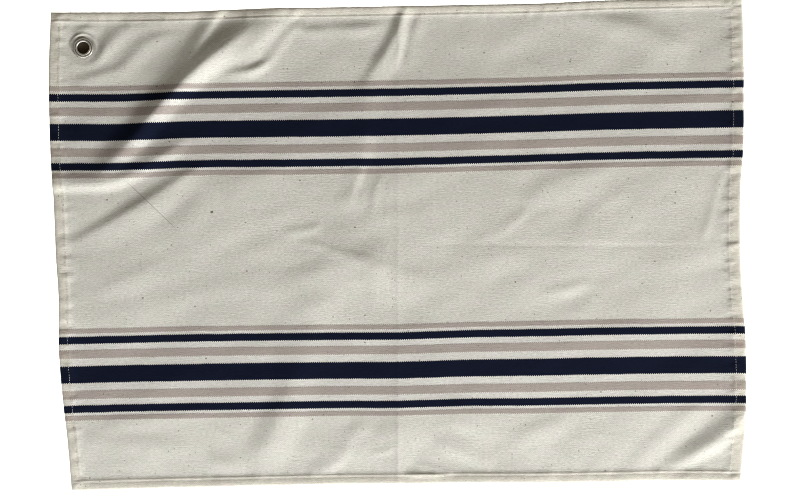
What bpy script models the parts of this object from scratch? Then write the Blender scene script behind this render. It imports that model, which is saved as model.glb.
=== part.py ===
"""Striped cotton tea towel with a metal eyelet in one corner, laid out on a flat surface.

The cloth is one hemmed sheet, flat where it touches the surface and lifted in soft folds. A sheet is made
from the flat cloth: each of its points goes to its place in plan, then up by the folds that pass over it.
The cloth that holds the eyelet is parted from the rest by a hair gap, with the pressed eyelet and washer in it.
Metres, +Z up. The origin is on the surface, under the middle of the towel's box.
"""
import math
from collections import namedtuple

import bmesh
import bpy
import numpy as np

MM = 0.001

# Driving dimensions of the cloth. The flat cloth runs along X by WIDTH and along Y by DEPTH.
WIDTH = 0.704
DEPTH = 0.484
CLOTH_THICKNESS = 0.0011
HEM_THICKNESS = 0.0021
SIDE_HEM = 0.0100
END_HEM = 0.0085
HEM_STEP = 0.0012
GAP = 0.0003
GRID_STEP = 0.0080
CLOTH_SHARE_KEPT = 0.42

# Driving dimensions of the eyelet, and of the cloth that holds it.
EYELET_X = -0.3187
EYELET_Y = 0.1991
HOLE_RADIUS = 0.0061
BARREL_WALL = 0.0006
FLANGE_RADIUS = 0.0110
FLANGE_THICKNESS = 0.0008
LIP_RADIUS = 0.0086
LIP_HEIGHT = 0.0008
WASHER_EDGE = 0.0006
WASHER_CREST = 0.0012
CORNER_WIDTH = 0.0680
CORNER_DEPTH = 0.0720
SEAT_RADIUS = 0.0125
SEAT_FADE = 0.0095
TURN_STEPS = 36
CUTTER_LENGTH = 0.020

# Worked out from those.
BARREL_RADIUS = HOLE_RADIUS + BARREL_WALL
CLOTH_HOLE_RADIUS = BARREL_RADIUS + GAP
SEAT_HEIGHT = FLANGE_THICKNESS + GAP
WASHER_BASE = SEAT_HEIGHT + CLOTH_THICKNESS + GAP
LIP_BASE = WASHER_BASE + WASHER_EDGE + GAP

# Where the cloth's lines lie in plan, in millimetres. A line across the towel has its Y at each tenth of the
# width from the left. A line up the towel has its X at each tenth of the depth from the front edge.
AcrossLine = namedtuple("AcrossLine", "share_of_depth y_at_tenths")
UpLine = namedtuple("UpLine", "share_of_width x_at_tenths")
ACROSS_LINES = (
    AcrossLine(0.000, (-250, -248, -246.5, -245, -243.5, -243, -242, -242, -241, -239.5, -240)),
    AcrossLine(0.242, (-132.9, -131.2, -129.9, -128.9, -128, -127.7, -125.6, -124.7, -123.3, -122.4, -122)),
    AcrossLine(0.750, (113.3, 113.4, 116.1, 117, 117.7, 118.8, 120.4, 122.3, 124.6, 126, 127.2)),
    AcrossLine(1.000, (235.1, 235.1, 236, 238.7, 240, 241.2, 242.7, 243.9, 247.1, 248.7, 250)),
)
UP_LINES = (
    UpLine(0.0, (-330.4, -334.4, -340, -343.6, -343.8, -346.8, -348.6, -351.9, -353.4, -353.4, -351.7)),
    UpLine(0.5, (0.3, 0.3, 0.3, 0.3, 0.3, 0.3, 0.3, 0.3, 0.3, 0.3, 0.3)),
    UpLine(1.0, (347.7, 351.9, 353.4, 352.4, 349.1, 347.3, 347.7, 350.4, 350.7, 350.7, 348.8)),
)

# The folds, in millimetres. Each follows its ridge through the rows' points. The front of a ridge looks to the
# +X -Y corner, and front and back are how far the ridge spreads to either side before the cloth is flat again.
# Crease is 0 for a soft swell and 1 for a sharp ridge.
Fold = namedtuple("Fold", "crease rows")
FoldRow = namedtuple("FoldRow", "x y height front back")
FOLDS = {
    "long fold": Fold(0.5, (
        FoldRow(-94, 252, 3.2, 8, 34),
        FoldRow(-117, 229, 3.8, 10, 36),
        FoldRow(-140, 212, 5.2, 14, 32),
        FoldRow(-163, 205, 6.4, 24, 28),
        FoldRow(-178, 200, 6.8, 26, 26),
        FoldRow(-193, 189, 7.0, 25, 24),
        FoldRow(-208, 176, 7.0, 23, 22),
        FoldRow(-226, 158, 6.6, 21, 22),
        FoldRow(-241, 142, 6.0, 20, 22),
        FoldRow(-256, 123, 5.4, 19, 22),
        FoldRow(-273, 102, 4.0, 17, 22),
        FoldRow(-291, 83, 2.6, 15, 20),
        FoldRow(-306, 68, 0, 13, 18),
    )),
    "swell under the long fold": Fold(0.2, (
        FoldRow(-80, 262, 2.4, 60, 56),
        FoldRow(-117, 232, 3.0, 60, 60),
        FoldRow(-151, 208, 3.2, 48, 60),
        FoldRow(-193, 188, 3.4, 32, 56),
        FoldRow(-226, 158, 3.2, 24, 46),
        FoldRow(-256, 123, 2.2, 22, 36),
        FoldRow(-282, 92, 1.2, 20, 30),
        FoldRow(-304, 66, 0, 16, 24),
    )),
    "shoulder behind the long fold": Fold(0.2, (
        FoldRow(-168, 262, 1.2, 8, 16),
        FoldRow(-180, 242, 1.8, 8, 18),
        FoldRow(-192, 223, 2.0, 8, 20),
        FoldRow(-202, 207, 1.6, 8, 20),
        FoldRow(-211, 191, 0.7, 8, 18),
        FoldRow(-217, 178, 0, 7, 14),
    )),
    "branch to the left edge": Fold(0.7, (
        FoldRow(-210, 106, 0, 12, 12),
        FoldRow(-226, 97, 2.6, 13, 18),
        FoldRow(-246, 87, 3.0, 14, 14),
        FoldRow(-268, 77, 3.6, 15, 16),
        FoldRow(-290, 68, 4.0, 17, 18),
        FoldRow(-320, 65, 3.6, 17, 16),
        FoldRow(-356, 63, 2.8, 17, 16),
    )),
    "lower branch": Fold(0.6, (
        FoldRow(-190, 86, 0, 16, 10),
        FoldRow(-210, 74, 2.2, 22, 13),
        FoldRow(-232, 60, 3.0, 26, 14),
        FoldRow(-258, 44, 3.4, 28, 15),
        FoldRow(-282, 30, 3.2, 28, 15),
        FoldRow(-306, 16, 2.2, 24, 13),
        FoldRow(-328, 5, 1.0, 18, 11),
        FoldRow(-344, -2, 0, 14, 10),
    )),
    "ridge beside the eyelet": Fold(0.3, (
        FoldRow(-202, 232, 0, 10, 8),
        FoldRow(-230, 230, 1.0, 11, 8),
        FoldRow(-256, 227, 1.6, 12, 10),
        FoldRow(-276, 219, 2.2, 13, 14),
        FoldRow(-291, 206, 2.6, 13, 14),
        FoldRow(-302, 192, 2.2, 13, 12),
        FoldRow(-316, 181, 1.4, 12, 10),
        FoldRow(-332, 175, 0, 10, 10),
    )),
    "second ridge": Fold(0.4, (
        FoldRow(-222, 213, 0, 12, 8),
        FoldRow(-244, 209, 1.2, 16, 9),
        FoldRow(-260, 198, 1.6, 17, 12),
        FoldRow(-274, 181, 1.6, 16, 12),
        FoldRow(-286, 164, 1.2, 14, 12),
        FoldRow(-298, 148, 0, 12, 12),
    )),
    "ledge in front of the long fold": Fold(0.8, (
        FoldRow(-176, 182, 0, 10, 6),
        FoldRow(-158, 178, 1.0, 11, 7),
        FoldRow(-144, 177, 1.8, 12, 8),
        FoldRow(-132, 182, 2.0, 11, 10),
        FoldRow(-124, 193, 1.2, 9, 10),
        FoldRow(-120, 204, 0, 9, 8),
    )),
    "fold from the back hem": Fold(0.5, (
        FoldRow(12, 250, 2.6, 10, 14),
        FoldRow(5, 236, 3.6, 11, 16),
        FoldRow(-4, 208, 4.2, 16, 18),
        FoldRow(-19, 182, 3.0, 24, 17),
        FoldRow(-29, 166, 2.2, 26, 16),
        FoldRow(-32, 148, 1.6, 24, 14),
        FoldRow(-33, 128, 1.3, 20, 15),
        FoldRow(-36, 86, 1.5, 12, 20),
        FoldRow(-44, 60, 1.4, 8, 20),
        FoldRow(-49, 47, 0.7, 7, 15),
        FoldRow(-54, 36, 0, 7, 10),
    )),
    "ridge at the back right": Fold(0.2, (
        FoldRow(196, 232, 0, 14, 8),
        FoldRow(214, 228, 1.2, 16, 12),
        FoldRow(232, 223, 2.4, 18, 16),
        FoldRow(254, 214, 2.6, 16, 19),
        FoldRow(276, 206, 1.8, 12, 18),
        FoldRow(297, 198, 0.7, 10, 14),
        FoldRow(312, 194, 0, 10, 10),
    )),
    "ridge right of the middle": Fold(0.2, (
        FoldRow(238, 84, 0, 14, 12),
        FoldRow(212, 75, 0.9, 14, 16),
        FoldRow(170, 61, 1.5, 14, 22),
        FoldRow(131, 43, 1.4, 13, 20),
        FoldRow(106, 20, 1.0, 12, 16),
        FoldRow(84, 9, 0.7, 10, 12),
        FoldRow(60, 4, 0, 10, 8),
    )),
    "dimple in the middle": Fold(0.3, (
        FoldRow(-15, -4, 0, 50, 60),
        FoldRow(-18, -17, 1.9, 56, 60),
        FoldRow(-21, -31, 2.0, 56, 46),
        FoldRow(-24, -45, 1.3, 50, 26),
        FoldRow(-27, -59, 0.5, 40, 12),
        FoldRow(-29, -68, 0, 30, 8),
    )),
    "fold to the front hem": Fold(0.3, (
        FoldRow(-80, -44, 0, 30, 30),
        FoldRow(-88, -66, 1.3, 30, 44),
        FoldRow(-100, -118, 1.5, 30, 26),
        FoldRow(-106, -144, 2.8, 32, 19),
        FoldRow(-116, -172, 3.0, 34, 19),
        FoldRow(-126, -200, 2.5, 34, 19),
        FoldRow(-139, -221, 1.4, 30, 16),
        FoldRow(-150, -238, 0, 24, 12),
    )),
    "swell in front of the middle": Fold(0.3, (
        FoldRow(-10, -140, 0, 30, 12),
        FoldRow(8, -148, 1.6, 36, 14),
        FoldRow(33, -160, 2.4, 42, 16),
        FoldRow(58, -171, 2.0, 40, 15),
        FoldRow(84, -182, 1.0, 32, 12),
        FoldRow(108, -190, 0, 20, 10),
    )),
    "fold across the front right corner": Fold(0.4, (
        FoldRow(366, -160, 5.6, 18, 24),
        FoldRow(348, -177, 6.0, 18, 24),
        FoldRow(327, -198, 6.4, 17, 24),
        FoldRow(309, -209, 6.2, 16, 24),
        FoldRow(291, -220, 4.8, 15, 22),
        FoldRow(275, -228, 2.6, 13, 20),
        FoldRow(256, -236, 0.6, 12, 16),
        FoldRow(244, -241, 0, 10, 14),
    )),
    "shoulder of the corner fold": Fold(0.2, (
        FoldRow(320, -146, 0, 12, 14),
        FoldRow(303, -165, 1.3, 13, 20),
        FoldRow(276, -189, 1.8, 14, 22),
        FoldRow(256, -208, 1.7, 14, 20),
        FoldRow(240, -224, 0.9, 13, 16),
        FoldRow(226, -240, 0, 12, 12),
    )),
}
FRONT_DIRECTION = (0.67, -0.74)
FRONT_CREASE_SHARE = 0.35
CREASE_RADIUS = 0.10
RIDGE_PIECES = 40

# Colours as linear values, with roughness and metallic share.
Finish = namedtuple("Finish", "colour roughness metallic")
CREAM_COTTON = Finish((0.585, 0.560, 0.490), 0.90, 0.0)
NICKEL = Finish((0.600, 0.585, 0.560), 0.28, 1.0)


def smooth(places, values, at):
    """Values along a smooth curve through the points (places, values)."""
    places = np.asarray(places, dtype=float)
    values = np.asarray(values, dtype=float)
    slopes = np.gradient(values, places)
    piece = np.clip(np.searchsorted(places, at, side="right") - 1, 0, len(places) - 2)
    length = places[piece + 1] - places[piece]
    t = np.clip((at - places[piece]) / length, 0, 1)
    start = (2 * t**3 - 3 * t**2 + 1) * values[piece] + (t**3 - 2 * t**2 + t) * length * slopes[piece]
    end = (3 * t**2 - 2 * t**3) * values[piece + 1] + (t**3 - t**2) * length * slopes[piece + 1]
    return start + end


def fade(distance, start, width):
    """1 up to start, falling smoothly to 0 at start + width."""
    t = np.clip((distance - start) / width, 0, 1)
    return 1 - t * t * (3 - 2 * t)


def plan(u, v):
    """Place in plan of the flat cloth's points u across and v up, in metres."""
    tenths = np.linspace(0, 1, 11)
    across = u / WIDTH
    up = v / DEPTH
    heights = np.stack([smooth(tenths, line.y_at_tenths, across) for line in ACROSS_LINES])
    places = np.array([line.share_of_depth for line in ACROSS_LINES])
    y = np.zeros_like(u)
    for k, line in enumerate(ACROSS_LINES):
        others = np.delete(places, k)
        y += heights[k] * np.prod([(up - other) / (line.share_of_depth - other) for other in others], axis=0)
    left, middle, right = [smooth(tenths, line.x_at_tenths, up) for line in UP_LINES]
    x = left * (1 - across) * (1 - 2 * across) + middle * 4 * across * (1 - across)
    x += right * across * (2 * across - 1)
    return x * MM, y * MM


def ridge_share(distance, crease):
    """Share of a ridge's height left at a distance from its line, in shares of the ridge's reach."""
    t = np.clip(distance, 0, 1)
    soft = np.cos(t * math.pi / 2) ** 2
    sharp = (1 - (np.hypot(t, CREASE_RADIUS) - CREASE_RADIUS) / (math.hypot(1, CREASE_RADIUS) - CREASE_RADIUS)) ** 2
    return soft + (sharp - soft) * crease


def ridge_height(x, y, fold):
    """Height of one fold at the points x, y, in millimetres."""
    table = np.array(fold.rows, dtype=float)
    steps = np.hypot(np.diff(table[:, 0]), np.diff(table[:, 1]))
    along = np.concatenate([[0], np.cumsum(steps)])
    at = np.linspace(0, along[-1], RIDGE_PIECES)
    line = np.stack([smooth(along, table[:, column], at) for column in range(table.shape[1])], axis=1)
    nearest = np.full(x.shape, np.inf)
    found = [np.zeros(x.shape) for _ in range(4)]
    for a, b in zip(line[:-1], line[1:]):
        run_x, run_y = b[0] - a[0], b[1] - a[1]
        t = np.clip(((x - a[0]) * run_x + (y - a[1]) * run_y) / (run_x**2 + run_y**2), 0, 1)
        off_x, off_y = x - a[0] - t * run_x, y - a[1] - t * run_y
        distance = np.hypot(off_x, off_y)
        closer = distance < nearest
        nearest = np.where(closer, distance, nearest)
        side = off_x * FRONT_DIRECTION[0] + off_y * FRONT_DIRECTION[1]
        here = [a[k] + t * (b[k] - a[k]) for k in (2, 3, 4)] + [side]
        found = [np.where(closer, new, old) for new, old in zip(here, found)]
    height, front, back, side = found
    reach = np.where(side > 0, front, back)
    crease = fold.crease * np.where(side > 0, FRONT_CREASE_SHARE, 1)
    return np.maximum(height, 0) * ridge_share(nearest / reach, crease)


def underside(x, y):
    """Height of the cloth's underside over the surface, in metres."""
    total = sum(ridge_height(x / MM, y / MM, fold) for fold in FOLDS.values()) * MM
    seat = fade(np.hypot(x - EYELET_X, y - EYELET_Y), SEAT_RADIUS, SEAT_FADE)
    return total * (1 - seat) + SEAT_HEIGHT * seat


def hem_share(u, v):
    """1 on the hems and 0 on the single cloth inside them."""
    side = fade(np.minimum(u, WIDTH - u), SIDE_HEM, HEM_STEP)
    end = fade(np.minimum(v, DEPTH - v), END_HEM, HEM_STEP)
    return np.maximum(side, end)


def grid_lines(length, hem, cuts=()):
    """Places of the grid's lines: close together at the hem's edge, at each cut, and evenly between."""
    inner = hem + HEM_STEP
    fixed = [0, hem, inner, *cuts, length - inner, length - hem, length]
    lines = [0.0]
    for start, end in zip(fixed[:-1], fixed[1:]):
        pieces = max(1, round((end - start) / GRID_STEP))
        lines += [start + (end - start) * (k + 1) / pieces for k in range(pieces)]
    return np.array(lines)


def near_edge(u, v):
    """Whether a point of the flat cloth is on a hem, its step down to the single cloth included."""
    side = np.minimum(u, WIDTH - u) < SIDE_HEM + HEM_STEP + GAP
    end = np.minimum(v, DEPTH - v) < END_HEM + HEM_STEP + GAP
    return side | end


def cloth_mesh(name, keep):
    """Open sheet over the part of the flat cloth that keep names, placed and lifted into its folds.

    Also gives the flat cloth's place, across and up, of each of its points.
    """
    u_lines = grid_lines(WIDTH, SIDE_HEM, (CORNER_WIDTH, CORNER_WIDTH + GAP))
    v_lines = grid_lines(DEPTH, END_HEM, (DEPTH - CORNER_DEPTH - GAP, DEPTH - CORNER_DEPTH))
    columns, rows = len(u_lines) - 1, len(v_lines) - 1
    bm = bmesh.new()
    bmesh.ops.create_grid(bm, x_segments=columns, y_segments=rows, size=0.5)
    for vert in bm.verts:
        vert.co.x = u_lines[round((vert.co.x + 0.5) * columns)]
        vert.co.y = v_lines[round((vert.co.y + 0.5) * rows)]
    outside = [face for face in bm.faces if not keep(*face.calc_center_median().xy)]
    bmesh.ops.delete(bm, geom=outside, context="FACES")
    mesh = bpy.data.meshes.new(name)
    bm.to_mesh(mesh)
    bm.free()

    flat = np.empty(len(mesh.vertices) * 3)
    mesh.vertices.foreach_get("co", flat)
    u, v = flat[0::3].copy(), flat[1::3].copy()
    x, y = plan(u, v)
    placed = np.stack([x, y, underside(x, y)], axis=1)
    mesh.vertices.foreach_set("co", placed.ravel())
    mesh.update()
    return mesh, u, v


def in_corner(u, v):
    """Whether a point of the flat cloth is in the part that holds the eyelet."""
    return u < CORNER_WIDTH and v > DEPTH - CORNER_DEPTH


def in_main_cloth(u, v):
    """Whether a point of the flat cloth is in the rest, past the hair gap."""
    return u > CORNER_WIDTH + GAP or v < DEPTH - CORNER_DEPTH - GAP


def add_object(name, mesh, collection, parent=None):
    obj = bpy.data.objects.new(name, mesh)
    obj.parent = parent
    collection.objects.link(obj)
    return obj


def add_group(obj, name, weights):
    """Vertex group with a weight for each of the object's points."""
    group = obj.vertex_groups.new(name=name)
    for index in np.flatnonzero(weights):
        group.add([int(index)], float(weights[index]), "REPLACE")
    return group


def give_finish(obj, name, finish):
    material = bpy.data.materials.get(name) or bpy.data.materials.new(name)
    material.use_nodes = True
    shader = material.node_tree.nodes["Principled BSDF"]
    shader.inputs["Base Color"].default_value = (*finish.colour, 1)
    shader.inputs["Roughness"].default_value = finish.roughness
    shader.inputs["Metallic"].default_value = finish.metallic
    obj.data.materials.append(material)


def cloth_piece(name, keep, share_kept, collection, parent):
    """One piece of the towel's cloth: thin inside, doubled at the hems."""
    mesh, u, v = cloth_mesh(name, keep)
    obj = add_object(name, mesh, collection, parent)
    hem = add_group(obj, "hem", hem_share(u, v))
    edges = add_group(obj, "hem and its step", near_edge(u, v))
    if share_kept < 1:
        thin_out = obj.modifiers.new("fewer faces where flat", "DECIMATE")
        thin_out.ratio = share_kept
        thin_out.vertex_group = edges.name
        thin_out.invert_vertex_group = True
    solid = obj.modifiers.new("cloth thickness", "SOLIDIFY")
    solid.thickness = HEM_THICKNESS
    solid.offset = 1
    solid.vertex_group = hem.name
    solid.thickness_vertex_group = CLOTH_THICKNESS / HEM_THICKNESS
    give_finish(obj, "cream cotton", CREAM_COTTON)
    return obj


def turned(name, profile, collection, parent):
    """Ring turned about the eyelet's axis from a closed profile of (radius, height) points."""
    mesh = bpy.data.meshes.new(name)
    points = [(radius, 0, height) for radius, height in profile]
    edges = [(k, (k + 1) % len(points)) for k in range(len(points))]
    mesh.from_pydata(points, edges, [])
    obj = add_object(name, mesh, collection, parent)
    obj.location = (EYELET_X, EYELET_Y, 0)
    screw = obj.modifiers.new("turn", "SCREW")
    screw.steps = TURN_STEPS
    screw.render_steps = TURN_STEPS
    screw.use_merge_vertices = True
    screw.merge_threshold = 0.00001
    give_finish(obj, "nickel", NICKEL)
    return obj


def arc(centre_radius, centre_height, radius_out, radius_up, start, end, points):
    """Points of an oval arc in a profile, from the start angle to the end angle in degrees."""
    angles = np.radians(np.linspace(start, end, points))
    return [(centre_radius + radius_out * math.cos(a), centre_height + radius_up * math.sin(a)) for a in angles]


def make_eyelet(collection, parent):
    """Back flange, barrel through the cloth, and the lip rolled over at the front."""
    edge = FLANGE_THICKNESS / 2
    lip_middle = (BARREL_RADIUS + LIP_RADIUS) / 2
    lip_reach = LIP_RADIUS - lip_middle
    profile = arc(lip_middle, LIP_BASE, lip_reach, LIP_HEIGHT, 60, 0, 4)
    profile += [(BARREL_RADIUS, LIP_BASE), (BARREL_RADIUS, FLANGE_THICKNESS)]
    profile += arc(FLANGE_RADIUS - edge, edge, edge, edge, 90, -90, 5)
    profile += [(BARREL_RADIUS, 0), (HOLE_RADIUS, BARREL_WALL)]
    profile += arc(lip_middle, LIP_BASE, lip_middle - HOLE_RADIUS, LIP_HEIGHT, 180, 90, 4)
    return turned("eyelet", profile, collection, parent)


def make_washer(collection, parent):
    """Pressed ring on the front of the cloth, domed outside the rolled lip."""
    dome_inside = LIP_RADIUS + GAP
    dome_middle = (dome_inside + FLANGE_RADIUS) / 2
    dome_reach = FLANGE_RADIUS - dome_middle
    edge_top = WASHER_BASE + WASHER_EDGE
    profile = arc(dome_middle, edge_top, dome_reach, WASHER_CREST - WASHER_EDGE, 60, 0, 3)
    profile += [(FLANGE_RADIUS, WASHER_BASE), (CLOTH_HOLE_RADIUS, WASHER_BASE), (CLOTH_HOLE_RADIUS, edge_top)]
    profile += arc(dome_middle, edge_top, dome_reach, WASHER_CREST - WASHER_EDGE, 180, 90, 4)
    return turned("eyelet_washer", profile, collection, parent)


def cut_eyelet_hole(cloth, collection):
    """Round hole through the cloth for the eyelet's barrel."""
    bm = bmesh.new()
    bmesh.ops.create_cone(
        bm,
        cap_ends=True,
        segments=TURN_STEPS,
        radius1=CLOTH_HOLE_RADIUS,
        radius2=CLOTH_HOLE_RADIUS,
        depth=CUTTER_LENGTH,
    )
    mesh = bpy.data.meshes.new("eyelet hole cutter")
    bm.to_mesh(mesh)
    bm.free()
    cutter = add_object("eyelet hole cutter", mesh, collection)
    cutter.location = (EYELET_X, EYELET_Y, 0)
    cutter.hide_render = True
    cutter.display_type = "WIRE"
    cut = cloth.modifiers.new("eyelet hole", "BOOLEAN")
    cut.operation = "DIFFERENCE"
    cut.object = cutter


def main():
    for obj in list(bpy.data.objects):
        bpy.data.objects.remove(obj)
    scene = bpy.context.scene
    collection = bpy.data.collections.new("tea_towel")
    cutters = bpy.data.collections.new("tea_towel_cutters")
    scene.collection.children.link(collection)
    scene.collection.children.link(cutters)
    towel = add_object("tea_towel", None, collection)

    cloth_piece("towel_cloth", in_main_cloth, CLOTH_SHARE_KEPT, collection, towel)
    corner = cloth_piece("eyelet_corner", in_corner, 1, collection, towel)
    cut_eyelet_hole(corner, cutters)
    for ring in (make_eyelet(collection, towel), make_washer(collection, towel)):
        ring.data.shade_smooth()
        ring.data.set_sharp_from_angle(angle=math.radians(40))


main()
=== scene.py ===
"""Looks of a striped cotton tea towel, laid flat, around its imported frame.

The cloth is one closed sheet. Its points start on the flat cloth, u across and v up, go to their place in
plan, and rise with the folds of the solids and with finer creases. The hems are doubled cloth, sewn down with
white thread, and a pressed metal eyelet sits in one corner. Lengths are in metres, apart from those that are
said to be in millimetres.
"""
import math
from collections import namedtuple

import bmesh
import bpy
import numpy as np
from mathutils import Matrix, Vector


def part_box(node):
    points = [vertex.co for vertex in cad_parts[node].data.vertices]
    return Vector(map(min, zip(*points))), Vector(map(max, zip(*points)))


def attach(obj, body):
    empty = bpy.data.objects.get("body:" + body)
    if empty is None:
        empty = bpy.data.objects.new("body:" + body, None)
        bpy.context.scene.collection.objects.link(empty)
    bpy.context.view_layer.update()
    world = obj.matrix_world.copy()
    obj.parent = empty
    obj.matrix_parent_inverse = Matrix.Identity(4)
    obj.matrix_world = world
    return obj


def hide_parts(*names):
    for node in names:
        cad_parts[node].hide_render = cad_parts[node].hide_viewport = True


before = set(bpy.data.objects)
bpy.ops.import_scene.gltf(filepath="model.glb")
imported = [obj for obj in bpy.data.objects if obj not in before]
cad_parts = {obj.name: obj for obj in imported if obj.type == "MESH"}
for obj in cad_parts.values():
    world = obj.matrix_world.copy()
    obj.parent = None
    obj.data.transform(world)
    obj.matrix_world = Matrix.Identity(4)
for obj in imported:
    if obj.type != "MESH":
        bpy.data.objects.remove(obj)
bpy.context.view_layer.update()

MM = 0.001
ORIGIN = (0.0, 0.0, 0.0)

# The flat cloth, as in the solids.
WIDTH = 0.704
DEPTH = 0.484
CLOTH_THICKNESS = 0.0011

# The sheet's mesh: how far apart its grid lines are over the cloth and beside the two press creases, and
# where the lines along an outer edge lie. That edge is a rounded fold. HEM_STEP is the width of a hem's
# step down to the single cloth, and STITCH_SINK_REACH is how far to either side the stitches' groove goes.
GRID_STEP = 0.00290
CREASE_LINE_GAP = 0.0012
DENT_LINE_GAP = 0.0013
EDGE_RADIUS = 0.00105
EDGE_LINES = (0.00025, 0.0006, 0.00105, 0.0024, 0.0040, 0.0055)
HEM_STEP = 0.0024
STITCH_SINK_REACH = 0.0010

# Stitching: how far the rows keep clear of the corners, and how far each stitch may stray along its row,
# across it and aslant. A stitch is a run of rings, each with its place along the stitch as a share of its
# length, and its radius and its rise over the cloth as shares of the thread's radius.
STITCH_PITCH = 0.0027
STITCH_LENGTH = 0.0019
SIDE_ROW_CLEAR = 0.0092
END_ROW_CLEAR = 0.0025
STRAY_ALONG = 0.0002
STRAY_ACROSS = 0.00012
STRAY_ASLANT = 0.00010
THREAD_RADIUS = 0.00018
THREAD_SIDES = 6
THREAD_TWIST = 0.0007
StitchRing = namedtuple("StitchRing", "along radius rise")
STITCH_RINGS = (
    StitchRing(0, 0.4, -0.9),
    StitchRing(0.12, 0.85, -0.2),
    StitchRing(0.5, 1.05, 0.75),
    StitchRing(0.88, 0.85, -0.2),
    StitchRing(1, 0.4, -0.9),
)

# The eyelet. Its place, bore and flange are the solid's. The lip and the ring at the front are a little
# narrower. The cloth round it lies level on the flange, out to SEAT_RADIUS, and takes its own shape again
# over SEAT_FADE.
HOLE_RADIUS = 0.0061
BARREL_WALL = 0.0006
FLANGE_RADIUS = 0.0110
FLANGE_THICKNESS = 0.0008
LIP_RADIUS = 0.0081
LIP_HEIGHT = 0.0008
WASHER_RADIUS = 0.0102
WASHER_EDGE = 0.0006
WASHER_CREST = 0.0012
GAP = 0.0003
SEAT_RADIUS = 0.0125
SEAT_FADE = 0.0095
TURN_STEPS = 96
MERGE_DISTANCE = 0.00001
eyelet_low, eyelet_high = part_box("eyelet")
EYELET_X = (eyelet_low.x + eyelet_high.x) / 2
EYELET_Y = (eyelet_low.y + eyelet_high.y) / 2
BARREL_RADIUS = HOLE_RADIUS + BARREL_WALL
CLOTH_HOLE_RADIUS = BARREL_RADIUS + GAP
SEAT_HEIGHT = FLANGE_THICKNESS + GAP
WASHER_BASE = SEAT_HEIGHT + CLOTH_THICKNESS
LIP_BASE = eyelet_high.z - LIP_HEIGHT

# Camera, straight above. FRAME_WIDTH is what the picture spans at the floor.
CAMERA_HEIGHT = 2.6
FRAME_WIDTH = 0.8116
FRAME_CENTRE = (0.00238, -0.00583)
SENSOR_WIDTH = 36.0
PIXEL_FILTER = 0.9

# Light: soft lamps low at the right and along the front, an even surround, a lamp for the floor alone,
# which keeps it pale beside the towel, and one overhead that only shows as shine. Bearing and rise are in
# degrees, from +X and from the floor.
Lamp = namedtuple("Lamp", "name bearing rise distance width height power colour lights")
WHITE = (1.0, 1.0, 1.0)
COOL = (0.96, 0.99, 1.04)
LAMPS = (
    Lamp("side lamp", -36.0, 18.5, 3.2, 0.8, 0.8, 176.0, WHITE, "all"),
    Lamp("front lamp", -104.0, 28.0, 1.5, 1.8, 0.5, 19.0, COOL, "all"),
    Lamp("floor lamp", 135.0, 14.0, 4.0, 2.0, 2.0, 900.0, WHITE, "floor"),
    Lamp("overhead lamp", 0.0, 90.0, 3.2, 1.7, 1.7, 5.5, WHITE, "shine"),
)
SURROUND = 0.16
SURROUND_COLOUR = (1.0, 0.87, 0.64)
FLOOR_SIZE = 12.0
FLOOR_DROP = 0.0001
# A dark card under the eyelet stands in for the shade in its hole and for a dark surface under the towel.
CARD_RADIUS = 0.0090
CARD_SIDES = 48

# Where the cloth's lines lie in plan, in millimetres, as in the solids. A line across the towel has its Y
# at each tenth of the width from the left. A line up the towel has its X at each tenth of the depth from
# the front edge.
AcrossLine = namedtuple("AcrossLine", "share_of_depth y_at_tenths")
UpLine = namedtuple("UpLine", "share_of_width x_at_tenths")
ACROSS_LINES = (
    AcrossLine(0.000, (-250, -248, -246.5, -245, -243.5, -243, -242, -242, -241, -239.5, -240)),
    AcrossLine(0.242, (-132.9, -131.2, -129.9, -128.9, -128, -127.7, -125.6, -124.7, -123.3, -122.4, -122)),
    AcrossLine(0.750, (113.3, 113.4, 116.1, 117, 117.7, 118.8, 120.4, 122.3, 124.6, 126, 127.2)),
    AcrossLine(1.000, (235.1, 235.1, 236, 238.7, 240, 241.2, 242.7, 243.9, 247.1, 248.7, 250)),
)
UP_LINES = (
    UpLine(0.0, (-330.4, -334.4, -340, -343.6, -343.8, -346.8, -348.6, -351.9, -353.4, -353.4, -351.7)),
    UpLine(0.5, (0.3,) * 11),
    UpLine(1.0, (347.7, 351.9, 353.4, 352.4, 349.1, 347.3, 347.7, 350.4, 350.7, 350.7, 348.8)),
)
TENTHS = np.linspace(0, 1, 11)
FLAT_PLACE_ROUNDS = 12

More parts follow.
